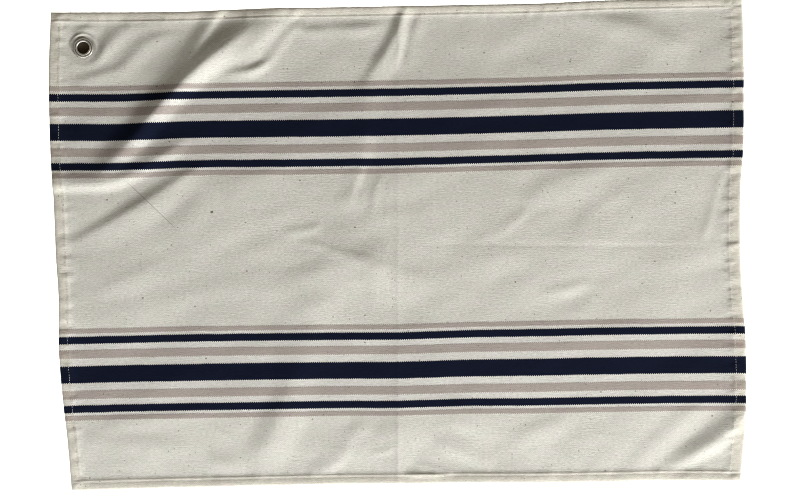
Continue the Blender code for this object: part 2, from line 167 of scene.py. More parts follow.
# The folds, in millimetres. Each follows its ridge through its rows of x, y, height, front and back. The
# front of a ridge looks to the +X -Y corner, and front and back are how far the ridge spreads to either
# side before the cloth is flat again. Crease is 0 for a soft swell and 1 for a sharp ridge, and the front
# has FRONT_CREASE_SHARE of it. PRESS_DENT_MIDDLE is a point of the press crease to the right, where grid
# lines of the sheet follow it.
Fold = namedtuple("Fold", "crease rows")
MAIN_FOLDS = {
    "long fold": Fold(0.5, (
        (-120, 240, 2.0, 12, 26), (-129, 231, 3.0, 16, 27), (-143, 222.5, 4.0, 20, 28),
        (-154, 214.5, 5.0, 22, 27), (-166, 205.5, 6.0, 22, 24), (-178, 197, 6.8, 22, 21),
        (-191.5, 187.5, 7.0, 21, 18), (-207, 173.5, 7.0, 19, 16.5), (-225.5, 155.5, 6.6, 18, 16),
        (-241, 139.5, 6.0, 18, 17), (-256, 121.5, 5.4, 17, 18), (-273, 101, 4.0, 16, 20),
        (-291, 83, 2.6, 15, 19), (-306, 68, 0, 13, 17),
    )),
    "swell under the long fold": Fold(0.2, (
        (-80, 262, 2.0, 60, 44), (-117, 232, 2.5, 60, 45), (-151, 208, 2.6, 48, 42),
        (-191, 187, 2.6, 32, 36), (-225, 156, 2.0, 24, 29), (-255, 123, 1.6, 22, 28),
        (-282, 92, 1.0, 20, 25), (-304, 66, 0, 16, 21),
    )),
    "shoulder behind the long fold": Fold(0.2, (
        (-165, 262, 1.4, 8, 16), (-176.5, 242, 2.3, 8, 16), (-188.5, 223, 2.7, 8, 16),
        (-198.5, 207, 2.6, 8, 16), (-208, 191, 1.8, 8, 15), (-215, 177, 0.8, 7, 12), (-222, 164, 0, 7, 10),
    )),
    "branch to the left edge": Fold(0.85, (
        (-210, 106, 0, 12, 12), (-226, 97, 2.6, 13, 18), (-246, 85, 3.2, 13, 20), (-268, 72, 4.0, 12, 26),
        (-290, 63, 4.6, 11, 32), (-320, 60.5, 4.6, 10, 34), (-356, 59.5, 3.8, 10, 34),
    )),
    "lower branch": Fold(0.6, (
        (-190, 85, 0, 16, 9), (-210, 72.3, 1.9, 22, 11), (-232, 58, 2.5, 26, 12), (-258, 41.5, 2.8, 28, 12),
        (-282, 27, 2.7, 28, 12), (-306, 13.5, 2.0, 24, 11), (-326, 3.5, 1.0, 18, 9), (-342, -3, 0, 14, 8),
    )),
    "ridge beside the eyelet": Fold(0.3, (
        (-202, 226, 0, 10, 5), (-230, 224.5, 0.8, 11, 6), (-256, 223, 1.0, 12, 10),
        (-276, 217, 1.5, 13, 15), (-290, 205, 1.9, 13, 14), (-301, 194, 2.1, 12, 9),
        (-312, 187, 1.6, 11, 7), (-326, 183, 0.9, 10, 6), (-338, 182, 0, 9, 6),
    )),
    "second ridge": Fold(0.4, (
        (-214, 214, 0, 12, 8), (-234, 211, 1.0, 16, 9), (-254, 203, 1.3, 17, 12), (-268, 190, 1.4, 16, 12),
        (-280, 179, 1.4, 16, 9), (-298, 172.5, 1.2, 14, 8), (-314, 168, 1.0, 12, 8), (-330, 163, 0, 10, 8),
    )),
    "ledge in front of the long fold": Fold(0.8, (
        (-181, 172, 0, 9, 7), (-164, 173.5, 1.7, 10, 8), (-149, 176, 3.2, 10, 8), (-138, 180.5, 3.0, 9, 8),
        (-131, 186, 1.3, 9, 9), (-125, 193, 1.0, 9, 20), (-117, 205, 1.1, 9, 24), (-105, 219, 0.9, 9, 22),
        (-97, 227, 0, 8, 16),
    )),
    "fold from the back hem": Fold(0.5, (
        (12, 244, 0, 8, 7), (7, 235, 1.6, 9, 8), (2.5, 224, 2.8, 11, 9), (-2.5, 210, 3.1, 16, 10),
        (-10.5, 196, 3.0, 20, 11), (-19.5, 182, 2.2, 22, 11), (-29, 168, 1.3, 24, 10),
        (-31, 150, 1.1, 22, 26), (-33, 128, 1.1, 20, 36), (-34, 104, 1.2, 14, 36), (-36, 86, 1.2, 10, 30),
        (-39, 72, 1.3, 7, 26), (-43, 60, 1.1, 6, 20), (-47, 47, 0.5, 5, 14), (-51, 36, 0, 5, 10),
    )),
    "ridge at the back right": Fold(0.2, (
        (172, 229, 0, 20, 6), (192, 228, 0.9, 20, 8), (212, 226, 1.5, 20, 11), (232, 222, 2.1, 22, 15),
        (250, 216.5, 2.3, 30, 18), (266, 209, 1.9, 38, 18), (282, 203, 1.1, 40, 15), (298, 198, 0, 36, 10),
    )),
    "ridge right of the middle": Fold(0.2, (
        (226, 80, 0, 18, 12), (205, 73.5, 0.9, 22, 16), (176, 67.5, 1.3, 24, 18), (152, 58, 1.2, 24, 19),
        (134, 45, 0.6, 16, 16), (126, 38, 0, 12, 12),
    )),
    "dimple in the middle": Fold(0.3, (
        (-16, 6, 0, 14, 24), (-18, -4, 0.9, 22, 34), (-19, -14, 2.0, 36, 40), (-20, -22, 2.7, 50, 40),
        (-20.5, -31, 2.5, 62, 32), (-21, -41, 1.9, 62, 24), (-22, -52, 1.0, 50, 14), (-24, -64, 0, 34, 8),
    )),
    "fold to the front hem": Fold(0.3, (
        (-80, -44, 0, 30, 30), (-88, -66, 1.0, 30, 44), (-94, -92, 1.0, 30, 40), (-100, -118, 1.3, 30, 30),
        (-107, -144, 2.3, 32, 24), (-119, -172, 2.9, 32, 24), (-130, -200, 2.6, 32, 25),
        (-142, -219, 1.3, 28, 20), (-150, -232, 0, 22, 12),
    )),
    "swell in front of the middle": Fold(0.3, (
        (20, -146, 0, 26, 12), (38, -155, 0.9, 30, 14), (58, -166, 1.0, 32, 15), (84, -178, 0.6, 28, 12),
        (104, -186, 0, 18, 10),
    )),
    "fold across the front right corner": Fold(0.4, (
        (372, -154, 0, 14, 16), (358, -166, 0.9, 12, 18), (348, -175, 2.2, 13, 20),
        (338, -186, 3.5, 15, 22), (327, -196, 4.0, 15, 22), (309, -207.5, 3.5, 14, 20),
        (291, -218, 2.2, 12, 17), (276, -225, 0.9, 9, 14), (262, -229, 0, 8, 10),
    )),
    "shoulder of the corner fold": Fold(0.2, (
        (320, -146, 0, 16, 14), (303, -165, 0.9, 18, 18), (276, -189, 1.1, 20, 18),
        (256, -208, 1.0, 18, 16), (240, -224, 0.5, 14, 14), (226, -240, 0, 12, 12),
    )),
}
FINE_FOLDS = {
    "strip beside the fold from the back hem": Fold(0.3, (
        (9, 246, 0, 6, 5), (5, 228, 1.0, 6, 6), (4, 210, 1.0, 6, 6), (1, 194, 0.9, 6, 6),
        (-4, 180, 0.4, 6, 6), (-8, 168, 0, 6, 6),
    )),
    "foot of the fold from the back hem": Fold(0.3, (
        (30, 240, 0, 10, 8), (20, 224, 0.9, 12, 7), (14, 206, 0.8, 14, 7), (10, 190, 0.5, 14, 8),
        (4, 174, 0, 14, 10),
    )),
    "wrinkle under the back hem": Fold(0.5, (
        (-112, 222, 0, 9, 6), (-89, 217, 1.3, 11, 7), (-62, 219, 0.7, 10, 6), (-38, 219, 1.7, 12, 8),
        (-22, 221, 1.0, 10, 7), (-12, 225, 0, 8, 6),
    )),
    "lower ridge right of the middle": Fold(0.2, (
        (236, 54, 0, 12, 11), (226, 49, 0.35, 12, 12), (206, 39, 0.45, 12, 12), (188, 26, 0.35, 12, 12),
        (176, 14, 0, 10, 10),
    )),
    "streak near the right hem": Fold(0.3, (
        (332, 76, 0, 4, 8), (328, 66, 0.5, 4, 9), (320, 38, 0.45, 5, 9), (312, 12, 0.5, 6, 9),
        (306, 0, 0, 6, 8),
    )),
    "wrinkle left of the dimple": Fold(0.5, (
        (-118, 10, 0, 8, 7), (-106, 12.5, 0.7, 8, 8), (-92, 14.5, 0.9, 8, 8), (-82, 17.5, 0.7, 8, 8),
        (-75, 21, 0, 7, 7),
    )),
    "lower swell in front of the middle": Fold(0.3, (
        (38, -195, 0, 12, 14), (52, -205, 1.4, 12, 18), (68, -213, 1.7, 12, 20), (84, -218, 1.2, 12, 18),
        (100, -222, 0, 10, 12),
    )),
    "dent right of the middle": Fold(0.3, (
        (202, -38, 0, 12, 8), (186, -41, 0.9, 12, 10), (168, -46, 1.1, 12, 10), (152, -49, 0.5, 12, 9),
        (140, -51, 0, 10, 8),
    )),
    "swell at the left": Fold(0.2, (
        (-232, -14, 0, 14, 12), (-258, -29, 0.5, 16, 14), (-286, -42, 0.5, 16, 14), (-312, -58, 0, 14, 12),
    )),
    "swell at the front right": Fold(0.2, (
        (182, -170, 0, 16, 12), (160, -182, 0.8, 18, 14), (136, -190, 0.8, 18, 14), (112, -202, 0, 14, 12),
    )),
    "press crease up the middle": Fold(1.0, (
        (0.3, -262, 0.35, 5, 4), (0.3, -160, 0.35, 5, 4), (0.3, 0, 0.22, 4, 4), (0.3, 160, 0.22, 4, 4),
        (0.3, 262, 0.25, 4, 4),
    )),
    "second edge of the long fold": Fold(0.3, (
        (-92, 246, 0, 9, 14), (-104, 236, 1.6, 9, 16), (-116, 227, 2.2, 10, 16), (-127, 218, 2.6, 11, 16),
        (-138, 207, 2.8, 13, 16), (-148, 198, 2.6, 16, 14), (-160, 190, 1.4, 18, 12),
        (-172, 182, 0, 16, 10),
    )),
    "hem over the fold from the back": Fold(0.3, (
        (-28, 246, 0, 7, 8), (-16, 243, 0.9, 8, 9), (-2, 241, 1.0, 8, 9), (8, 240, 0.5, 7, 8),
        (14, 239, 0, 6, 6),
    )),
    "crease right of the middle": Fold(0.3, (
        (134, 38, 0, 8, 8), (128, 31, 0.5, 8, 10), (118, 23, 0.6, 8, 12), (106, 13, 0.45, 8, 20),
        (92, 7, 0.5, 7, 24), (74, 6, 0, 8, 20),
    )),
    "swell left of the dimple": Fold(0.2, (
        (-84, -14, 0, 24, 50), (-80, -24, 0.9, 26, 60), (-74, -38, 1.2, 28, 60), (-64, -52, 0.9, 26, 50),
        (-54, -66, 0, 22, 40),
    )),
    "second wrinkle left of the dimple": Fold(0.4, (
        (-100, 5, 0, 6, 4), (-88, 1, 0.5, 7, 4), (-78, -1.5, 0.6, 8, 5), (-68, -5, 0, 7, 5),
    )),
    "swell behind the dimple": Fold(0.2, (
        (-62, 52, 0, 14, 14), (-54, 46, 0.8, 18, 16), (-40, 46, 0.8, 18, 16), (-30, 50, 0, 14, 12),
    )),
    "crease behind the dimple": Fold(0.3, (
        (-14, 70, 0, 8, 5), (-20, 64, 0.6, 9, 5), (-24, 50, 0.6, 9, 5), (-26, 36, 0.5, 9, 5),
        (-27, 24, 0, 8, 4),
    )),
    "swell between the branch and the middle": Fold(0.2, (
        (-186, 74, 0, 22, 16), (-196, 58, 0.9, 28, 20), (-206, 42, 1.0, 28, 20), (-220, 24, 0.6, 24, 18),
        (-232, 10, 0, 18, 14),
    )),
    "ridge at the middle of the front": Fold(0.6, (
        (0.3, -130, 0, 20, 20), (0.3, -160, 0.9, 30, 30), (0.3, -190, 1.5, 36, 44),
        (0.3, -212, 1.4, 26, 44), (1, -228, 0.9, 12, 24), (1, -240, 0.3, 8, 12), (1, -250, 0, 6, 8),
    )),
    "dent left of the middle of the front": Fold(0.2, (
        (-94, -231, 0, 8, 10), (-81, -229, 0.9, 8, 16), (-64, -222, 1.1, 10, 20), (-54, -209, 0.8, 12, 18),
        (-50, -196, 0, 12, 14),
    )),
    "swell left of the middle of the front": Fold(0.2, (
        (-54, -206, 0, 10, 12), (-46, -196, 0.6, 12, 14), (-36, -184, 0.7, 14, 16), (-26, -173, 0, 12, 12),
    )),
    "wrinkle at the middle of the front": Fold(0.4, (
        (-30, -214, 0, 5, 5), (-21, -212, 0.6, 5, 6), (-9, -209, 0.6, 5, 6), (-2, -206, 0, 5, 5),
    )),
    "bulge behind the front hem": Fold(0.4, (
        (2, -231, 0, 4, 7), (10, -233, 1.0, 4, 7), (30, -234, 1.2, 4, 7), (46, -233.5, 0.7, 4, 6),
        (58, -233, 0, 4, 6),
    )),
    "wrinkle behind the front hem": Fold(0.4, (
        (16, -223, 0, 4, 5), (28, -225.5, 0.7, 4, 6), (48, -229, 0.7, 4, 5), (66, -232, 0, 4, 4),
    )),
    "swell right of the middle of the front": Fold(0.2, (
        (44, -177, 0, 10, 8), (58, -180, 0.7, 12, 10), (76, -185, 0.6, 12, 10), (90, -187, 0, 10, 8),
    )),
    "dent at the front left": Fold(0.2, (
        (-192, -212, 0, 12, 12), (-180, -222, 0.9, 12, 18), (-164, -224, 1.0, 12, 18),
        (-150, -219, 0, 12, 14),
    )),
    "thin crease at the front left": Fold(0.5, (
        (-196, -180, 0, 4, 5), (-186, -186, 0.5, 5, 5), (-172, -195, 0.5, 5, 5), (-160, -203, 0, 4, 5),
    )),
    "long swell at the front left": Fold(0.2, (
        (-330, -196, 0, 14, 10), (-296, -201, 0.6, 16, 12), (-250, -204, 0.7, 16, 14),
        (-214, -206, 0.6, 14, 14), (-196, -208, 0, 12, 12),
    )),
    "upper swell at the front left": Fold(0.2, (
        (-310, -186, 0, 12, 10), (-276, -182, 0.5, 14, 12), (-240, -176, 0.6, 14, 12),
        (-206, -172, 0, 12, 10),
    )),
    "pucker at the middle of the right hem": Fold(0.4, (
        (328, -0.5, 0, 3, 3), (336, -0.4, 0.8, 3, 3.5), (350, -0.2, 1.0, 3, 3.5), (358, 0, 0.9, 3, 3.5),
    )),
    "left end of the dimple": Fold(0.2, (
        (-44, -5, 0, 50, 24), (-46, -11, 0.9, 50, 30), (-49, -17, 1.3, 50, 32), (-53, -25, 1.1, 46, 26),
        (-58, -33, 0.5, 40, 16), (-63, -39, 0, 34, 10),
    )),
    "hood over the dimple": Fold(0.2, (
        (-78, -4, 0, 8, 14), (-66, -7, 0.6, 9, 18), (-48, -12, 1.0, 10, 22), (-32, -18, 1.1, 10, 24),
        (-22, -24, 0.7, 10, 22), (-12, -30, 0, 10, 18),
    )),
}
PRESS_DENTS = {
    "press crease to the right": Fold(0.8, (
        (0, 0.8, 0, 3, 3), (40, 0, 0.20, 3, 3), (110, -1.0, 0.28, 3, 3), (190, -1.3, 0.26, 3, 3),
        (290, -1.5, 0.28, 3, 3), (334, -1.5, 0, 3, 3),
    )),
}
EYELET_FOLDS = {
    "bulge round the eyelet": Fold(0.2, (
        (-329, 208, 0, 5, 5), (-326, 213, 0.9, 5, 6), (-322, 215.5, 1.5, 5, 6), (-317, 217, 1.8, 5.5, 6),
        (-312, 217.3, 1.5, 5.5, 6), (-307, 217, 0.8, 5.5, 6), (-301, 217, 0, 5, 6),
    )),
    "wrinkle in front of the eyelet": Fold(0.3, (
        (-344, 190, 0, 6, 4), (-338, 191, 0.9, 6, 4), (-331, 188, 1.0, 6, 4), (-325, 183, 0.5, 5, 4),
        (-320, 178, 0, 5, 4),
    )),
    "pucker at the back left corner": Fold(0.3, (
        (-352, 226, 0, 5, 3), (-345, 226, 1.0, 5, 3), (-337, 226.5, 0.9, 5, 3), (-325, 227, 0, 5, 3),
    )),
}
PRESS_DENT_MIDDLE = (170, -1.3)
FRONT_DIRECTION = (0.67, -0.74)
FRONT_CREASE_SHARE = 0.35
CREASE_RADIUS = 0.10
RIDGE_PIECES = 40

# Soft unevenness of the cloth: height and lump size in millimetres, direction in degrees, stretch, seed.
Rolling = namedtuple("Rolling", "height size direction stretch seed")
ROLLING = (
    Rolling(1.20, 32, 24, 1.8, 11),
    Rolling(0.85, 14, 14, 2.0, 12),
    Rolling(0.24, 7, 8, 1.9, 13),
)
NOISE_CELLS = 128
NOISE_SWING = 2

# The four hems, in millimetres: width, rise over the single cloth, bulge between the outer edge and the
# stitches, stitch (distance of the stitch line from the edge), how far the stitches sink in, pitch and
# height of the puckers and how far they reach. The bulges are highest at BULGE_FROM_EDGE. Each piece of
# stitching has a seed of its own.
Hem = namedtuple("Hem", "side width rise bulge stitch sink pucker_pitch pucker_height pucker_reach seed")
HEMS = (
    Hem("left", 10.2, 0.40, 0.35, 9.1, 0.14, 11, 0.90, 8, 21),
    Hem("right", 11.2, 0.45, 0.35, 10.1, 0.20, 9.3, 0.80, 9, 22),
    Hem("back", 8.9, 0.80, 0.65, 7.9, 0.42, 12, 0.40, 7, 23),
    Hem("front", 9.1, 0.90, 0.50, 7.7, 0.36, 12, 0.40, 7, 24),
)
SIDE_HEMS = ("left", "right")
END_HEMS = ("front", "back")
SIDE_STITCH_SEED = 31
END_STITCH_SEED = 32
BULGE_FROM_EDGE = 2.4
BULGE_WIDTH = 2.6

# A pucker's width in millimetres and its slant, how far its place may stray as a share of the pitch, and
# between which shares of their own value its height, reach and width are drawn.
PUCKER_WIDTH = 2.6
PUCKER_SLANT = 0.35
PUCKER_STRAY = 0.3
PUCKER_HEIGHTS = (0.35, 1.15)
PUCKER_REACHES = (0.6, 1.3)
PUCKER_WIDTHS = (0.8, 1.3)

# Stripes, from the middle of a group outwards: where each band ends, in millimetres, and its yarn. The
# colours change over twice BAND_BLUR, and the relief of the thicker yarns over twice RELIEF_BLUR.
Band = namedtuple("Band", "end yarn")
BANDS = (
    Band(8.6, "navy"),
    Band(16.25, "pale"),
    Band(25.0, "taupe"),
    Band(31.1, "pale"),
    Band(38.7, "navy"),
    Band(41.6, "pale"),
    Band(46.7, "taupe"),
)
GROUP_MIDDLES = (0.242 * DEPTH, 0.750 * DEPTH)
YARNS = {
    "navy": (0.0045, 0.0068, 0.0180),
    "taupe": (0.345, 0.306, 0.276),
    "pale": (0.580, 0.569, 0.530),
    "ground": (0.575, 0.561, 0.510),
}
YARN_RELIEF = {"navy": 1.0, "taupe": 0.8, "pale": 0.0, "ground": 0.1}
BAND_BLUR = 0.15
RELIEF_BLUR = 0.55
RAMP_SPAN = 60.0

# The stripes' edges, in millimetres. They step to and fro with the twill, once in twice STEP_HALF_PITCH, by
# STEP_REACH to either side, and cross over between the two distances of STEP_SLOPE. Besides, they wander.
STEP_HALF_PITCH = 0.975
STEP_SLOPE = (0.28, 0.70)
STEP_REACH = 0.38
WANDER_STRETCH = (0.05, 0.02, 1)
WANDER_REACH = 0.4

# The weave, in millimetres, the painted shade between its ribs and in the thread's twist, and the tones of
# faint patches and doubled hems.
YARN_PITCH = 0.5
RIB_PAINTED_SHADE = (0.90, 1.05)
PLY_PAINTED_SHADE = (0.86, 1.04)
PATCH_STRETCH = (0.05, 0.09, 1)
PATCH_RANGE = (0.35, 0.65)
GREEN_TINT = (0.988, 1.004, 0.985)
PINK_TINT = (1.012, 0.994, 1.010)
HEM_TINT = (1.04, 1.02, 0.975)

# Flecks of seed husk: mean spacing and radius in millimetres, share of the places with one, and how dark it
# can be. A fleck is darkest out to FLECK_CORE, a share of its radius.
Fleck = namedtuple("Fleck", "spacing radius share strength")
FLECKS = (Fleck(11.0, 1.15, 0.60, 1.0), Fleck(5.5, 0.85, 0.50, 0.8))
FLECK_TINT = (0.40, 0.36, 0.32)
FLECK_CORE = 0.6

# Marks on the cloth: place and half sizes in millimetres in plan, turn in degrees. An oval's ends and sides
# are as round as the powers say, and it fades between the two shares of MARK_EDGE.
Mark = namedtuple("Mark", "x y turn half_length half_width strength colour")
MARKS = (
    Mark(-249.7, 39.8, -45.5, 39.0, 0.6, 0.60, (0.27, 0.25, 0.22)),
    Mark(-188.3, 32.7, 20, 1.8, 1.4, 0.92, (0.10, 0.085, 0.07)),
)
MARK_END_POWER = 4.0
MARK_SIDE_POWER = 2.0
MARK_EDGE = (0.2, 1.0)

# Small wrinkles across the hems: WRINKLE_DRAW is how quickly they change away from the stitches,
# WRINKLE_RANGE the part of the noise that shows, and WRINKLE_START sets the noise of the four hems apart.
WRINKLE_DRAW = 0.05
WRINKLE_RANGE = (0.36, 0.66)
WRINKLE_START = 1000.0

# The cloth pushed up in a ring round the eyelet, in millimetres: its middle seen from the eyelet's, its
# radius and width, and the direction in which it is highest. PUFF_FACING is the cosine of the angle off
# that direction at which it is lowest, and at which it has its full height. PUFF_LEAST is its lowest share.
PUFF_OFFSET = (0.3, 0.8)
PUFF_RADIUS = 12.9
PUFF_WIDTH = 2.0
PUFF_TOWARDS = (0.15, 0.99, 0.0)
PUFF_FACING = (-0.4, 0.8)
PUFF_LEAST = 0.08

# Relief that is bump and not mesh: its strength and its height.
Bump = namedtuple("Bump", "strength height")
WEAVE_BUMP = Bump(0.5, 0.00012)
SLUB_BUMP = Bump(1.0, 0.00010)
BAND_BUMP = Bump(1.0, 0.00022)
GRAIN_BUMP = Bump(1.0, 0.00018)
FUZZ_BUMP = Bump(0.35, 0.00010)
WRINKLE_BUMP = Bump(1.0, 0.0009)
PUFF_BUMP = Bump(1.0, 0.0014)
PLY_BUMP = Bump(0.7, 0.00006)
SCRATCH_BUMP = Bump(0.15, 0.00003)

# Painted shade on the metal, in millimetres: in the groove between the lip and the ring, where it fades
# between two distances from the groove's middle, and a painted dark reflection at the ring's outer edge.
PAINTED_SHADE_STRENGTH = 0.8
PAINTED_SHADE_COLOUR = (0.20, 0.175, 0.12)
PAINTED_SHADE_ROUGHNESS = 0.15
GROOVE_SHADE_FADE = (0.1, 0.6)
RIM_REFLECTION_WIDTH = 0.3

# Wear of the metal: scratches to the millimetre, and what they and the pits do to its roughness.
SCRATCHES = 9.0
SCRATCH_ROUGHNESS = 0.06
PIT_RANGE = (0.35, 0.7)
PIT_ROUGHNESS = (0.30, 0.44)

Look = namedtuple("Look", "colour roughness metallic")
COTTON = Look(YARNS["ground"], 0.88, 0.0)
THREAD = Look((0.60, 0.61, 0.60), 0.75, 0.0)
NICKEL = Look((0.66, 0.64, 0.60), 0.26, 1.0)
FLOOR = Look((0.90, 0.90, 0.90), 0.80, 0.0)
# The card's dark brown stands in for shade in the eyelet's hole and a dark surface under it.
CARD = Look((0.048, 0.032, 0.014), 0.90, 0.0)


# Shape of the cloth -----------------------------------------------------------------------------------------


def smooth(places, values, at):
    """Values along a smooth curve through the points (places, values)."""
    places = np.asarray(places, dtype=float)
    values = np.asarray(values, dtype=float)
    slopes = np.gradient(values, places)
    piece = np.clip(np.searchsorted(places, at, side="right") - 1, 0, len(places) - 2)
    length = places[piece + 1] - places[piece]
    t = np.clip((at - places[piece]) / length, 0, 1)
    start = (2 * t**3 - 3 * t**2 + 1) * values[piece] + (t**3 - 2 * t**2 + t) * length * slopes[piece]
    end = (3 * t**2 - 2 * t**3) * values[piece + 1] + (t**3 - t**2) * length * slopes[piece + 1]
    return start + end


def fade(distance, start, width):
    """1 up to start, falling smoothly to 0 at start + width."""
    t = np.clip((distance - start) / width, 0, 1)
    return 1 - t * t * (3 - 2 * t)


def plan(u, v):
    """Place in plan of the flat cloth's points u across and v up, in metres."""
    across = u / WIDTH
    up = v / DEPTH
    heights = np.stack([smooth(TENTHS, line.y_at_tenths, across) for line in ACROSS_LINES])
    places = np.array([line.share_of_depth for line in ACROSS_LINES])
    y = np.zeros_like(u)
    for k, line in enumerate(ACROSS_LINES):
        others = np.delete(places, k)
        shares = [(up - other) / (line.share_of_depth - other) for other in others]
        y += heights[k] * np.prod(shares, axis=0)
    left, middle, right = [smooth(TENTHS, line.x_at_tenths, up) for line in UP_LINES]
    x = left * (1 - across) * (1 - 2 * across) + middle * 4 * across * (1 - across)
    x += right * across * (2 * across - 1)
    return x * MM, y * MM


def flat_place(x, y):
    """The flat cloth's point that lies at x, y in plan, all in millimetres."""
    u, v = np.array([x * MM + WIDTH / 2]), np.array([y * MM + DEPTH / 2])
    for _ in range(FLAT_PLACE_ROUNDS):
        at_x, at_y = plan(u, v)
        u += x * MM - at_x
        v += y * MM - at_y
    return float(u[0]) / MM, float(v[0]) / MM


def ridge_share(distance, crease):
    """Share of a ridge's height left at a distance from its line, in shares of the ridge's reach."""
    t = np.clip(distance, 0, 1)
    soft = np.cos(t * math.pi / 2) ** 2
    fallen = (np.hypot(t, CREASE_RADIUS) - CREASE_RADIUS) / (math.hypot(1, CREASE_RADIUS) - CREASE_RADIUS)
    sharp = (1 - fallen) ** 2
    return soft + (sharp - soft) * crease


def ridge_height(x, y, fold):
    """Height of one fold at the points x, y, in millimetres."""
    table = np.array(fold.rows, dtype=float)
    steps = np.hypot(np.diff(table[:, 0]), np.diff(table[:, 1]))
    along = np.concatenate([[0], np.cumsum(steps)])
    at = np.linspace(0, along[-1], RIDGE_PIECES)
    line = np.stack([smooth(along, column, at) for column in table.T], axis=1)
    nearest = np.full(x.shape, np.inf)
    found = [np.zeros(x.shape) for _ in range(4)]
    for (a_x, a_y, *a_form), (b_x, b_y, *b_form) in zip(line[:-1], line[1:]):
        run_x, run_y = b_x - a_x, b_y - a_y
        t = np.clip(((x - a_x) * run_x + (y - a_y) * run_y) / (run_x**2 + run_y**2), 0, 1)
        off_x, off_y = x - a_x - t * run_x, y - a_y - t * run_y
        distance = np.hypot(off_x, off_y)
        closer = distance < nearest
        nearest = np.where(closer, distance, nearest)
        side = off_x * FRONT_DIRECTION[0] + off_y * FRONT_DIRECTION[1]
        here = [start + t * (end - start) for start, end in zip(a_form, b_form)] + [side]
        found = [np.where(closer, new, old) for new, old in zip(here, found)]
    height, front, back, side = found
    reach = np.where(side > 0, front, back)
    crease = fold.crease * np.where(side > 0, FRONT_CREASE_SHARE, 1)
    return np.maximum(height, 0) * ridge_share(nearest / reach, crease)


def ridges(x, y, folds):
    """Height of several folds together, in millimetres."""
    return sum(ridge_height(x, y, fold) for fold in folds)


def spline_weights(t):
    """Shares of four neighbouring lattice values in a smooth curve, at t between the middle two."""
    return ((1 - t) ** 3 / 6, (3 * t**3 - 6 * t**2 + 4) / 6, (1 + 3 * t + 3 * t**2 - 3 * t**3) / 6, t**3 / 6)


def lumps(x, y, size, direction, stretch, seed):
    """Smooth noise of about -1 to 1 at the points x, y, its lumps drawn out along a direction in degrees."""
    turn = math.radians(direction)
    a = (x * math.cos(turn) + y * math.sin(turn)) / (size * stretch)
    b = (y * math.cos(turn) - x * math.sin(turn)) / size
    lattice = np.random.default_rng(seed).uniform(-NOISE_SWING, NOISE_SWING, (NOISE_CELLS, NOISE_CELLS))
    row, column = np.floor(a).astype(int), np.floor(b).astype(int)

    total = np.zeros_like(a)
    for i, row_weight in enumerate(spline_weights(a - row)):
        for j, column_weight in enumerate(spline_weights(b - column)):
            value = lattice[(row + i) % NOISE_CELLS, (column + j) % NOISE_CELLS]
            total += row_weight * column_weight * value
    return total


def hem_places(u, v):
    """For each hem: distance of the points from its edge, and their place along it, in millimetres."""
    return {
        "left": (u / MM, v / MM),
        "right": ((WIDTH - u) / MM, v / MM),
        "front": (v / MM, u / MM),
        "back": ((DEPTH - v) / MM, u / MM),
    }


def puckers(distance, along, length, hem):
    """Small wrinkles across one hem's stitch line, in millimetres."""
    draw = np.random.default_rng(hem.seed)
    total = np.zeros_like(distance)
    for k in range(int(length / hem.pucker_pitch)):
        place = (k + 0.5 + draw.uniform(-PUCKER_STRAY, PUCKER_STRAY)) * hem.pucker_pitch
        height = hem.pucker_height * draw.uniform(*PUCKER_HEIGHTS)
        slant = PUCKER_SLANT * draw.uniform(-1, 1)
        reach = hem.pucker_reach * draw.uniform(*PUCKER_REACHES)
        width = PUCKER_WIDTH * draw.uniform(*PUCKER_WIDTHS)
        off = distance - hem.stitch
        total += height * np.exp(-(((along - place - slant * off) / width) ** 2) - (off / reach) ** 2)
    return total


def underside(u, v):
    """Height of the cloth's underside over the floor, in metres."""
    x, y = plan(u, v)
    x, y = x / MM, y / MM
    total = ridges(x, y, (*MAIN_FOLDS.values(), *FINE_FOLDS.values()))
    for rolling in ROLLING:
        total += rolling.height * (1 + lumps(x, y, *rolling[1:])) / 2
    places = hem_places(u, v)
    for hem in HEMS:
        length = (DEPTH if hem.side in SIDE_HEMS else WIDTH) / MM
        total += puckers(*places[hem.side], length, hem)
    from_eyelet = np.hypot(x - EYELET_X / MM, y - EYELET_Y / MM)
    seat = fade(from_eyelet, SEAT_RADIUS / MM, SEAT_FADE / MM)
    total = total * (1 - seat) + SEAT_HEIGHT / MM * seat
    total += ridges(x, y, EYELET_FOLDS.values())
    return np.maximum(total, 0) * MM


def hem_share(u, v):
    """1 on the hems and 0 on the single cloth inside them."""
    places = hem_places(u, v)
    shares = [fade(places[hem.side][0], hem.width, HEM_STEP / MM) for hem in HEMS]
    return np.maximum.reduce(shares)


def hem_rise(u, v):
    """How much thicker the hems are than the single cloth, in metres."""
    places = hem_places(u, v)
    rises = []
    for hem in HEMS:
        from_edge = places[hem.side][0]
        bulge = hem.bulge * np.exp(-(((from_edge - BULGE_FROM_EDGE) / BULGE_WIDTH) ** 2))
        rises.append((hem.rise + bulge) * MM * fade(from_edge, hem.width, HEM_STEP / MM))
    return np.maximum.reduce(rises)


def stitch_dip(u, v):
    """How far the stitches pull the cloth's face down, in metres."""
    places = hem_places(u, v)
    reach = STITCH_SINK_REACH / MM
    dips = [hem.sink * MM * np.exp(-(((places[hem.side][0] - hem.stitch) / reach) ** 2)) for hem in HEMS]
    return np.maximum.reduce(dips)


def press_dip(u, v):
    """How far the pressed crease to the right goes down in the cloth's face, in metres."""
    x, y = plan(u, v)
    return ridges(x / MM, y / MM, PRESS_DENTS.values()) * MM


def faces_of_cloth(u, v):
    """Heights of the cloth's front and back faces, in metres. They meet at the rounded outer edge."""
    thickness = CLOTH_THICKNESS + hem_rise(u, v) - stitch_dip(u, v) - press_dip(u, v)
    edge = np.minimum.reduce([u, WIDTH - u, v, DEPTH - v])
    inwards = np.clip(1 - edge / EDGE_RADIUS, 0, 1)
    roundness = np.sqrt(1 - inwards**2)
    middle = underside(u, v) + thickness / 2
    return middle + thickness / 2 * roundness, middle - thickness / 2 * roundness


# Pieces -----------------------------------------------------------------------------------------------------


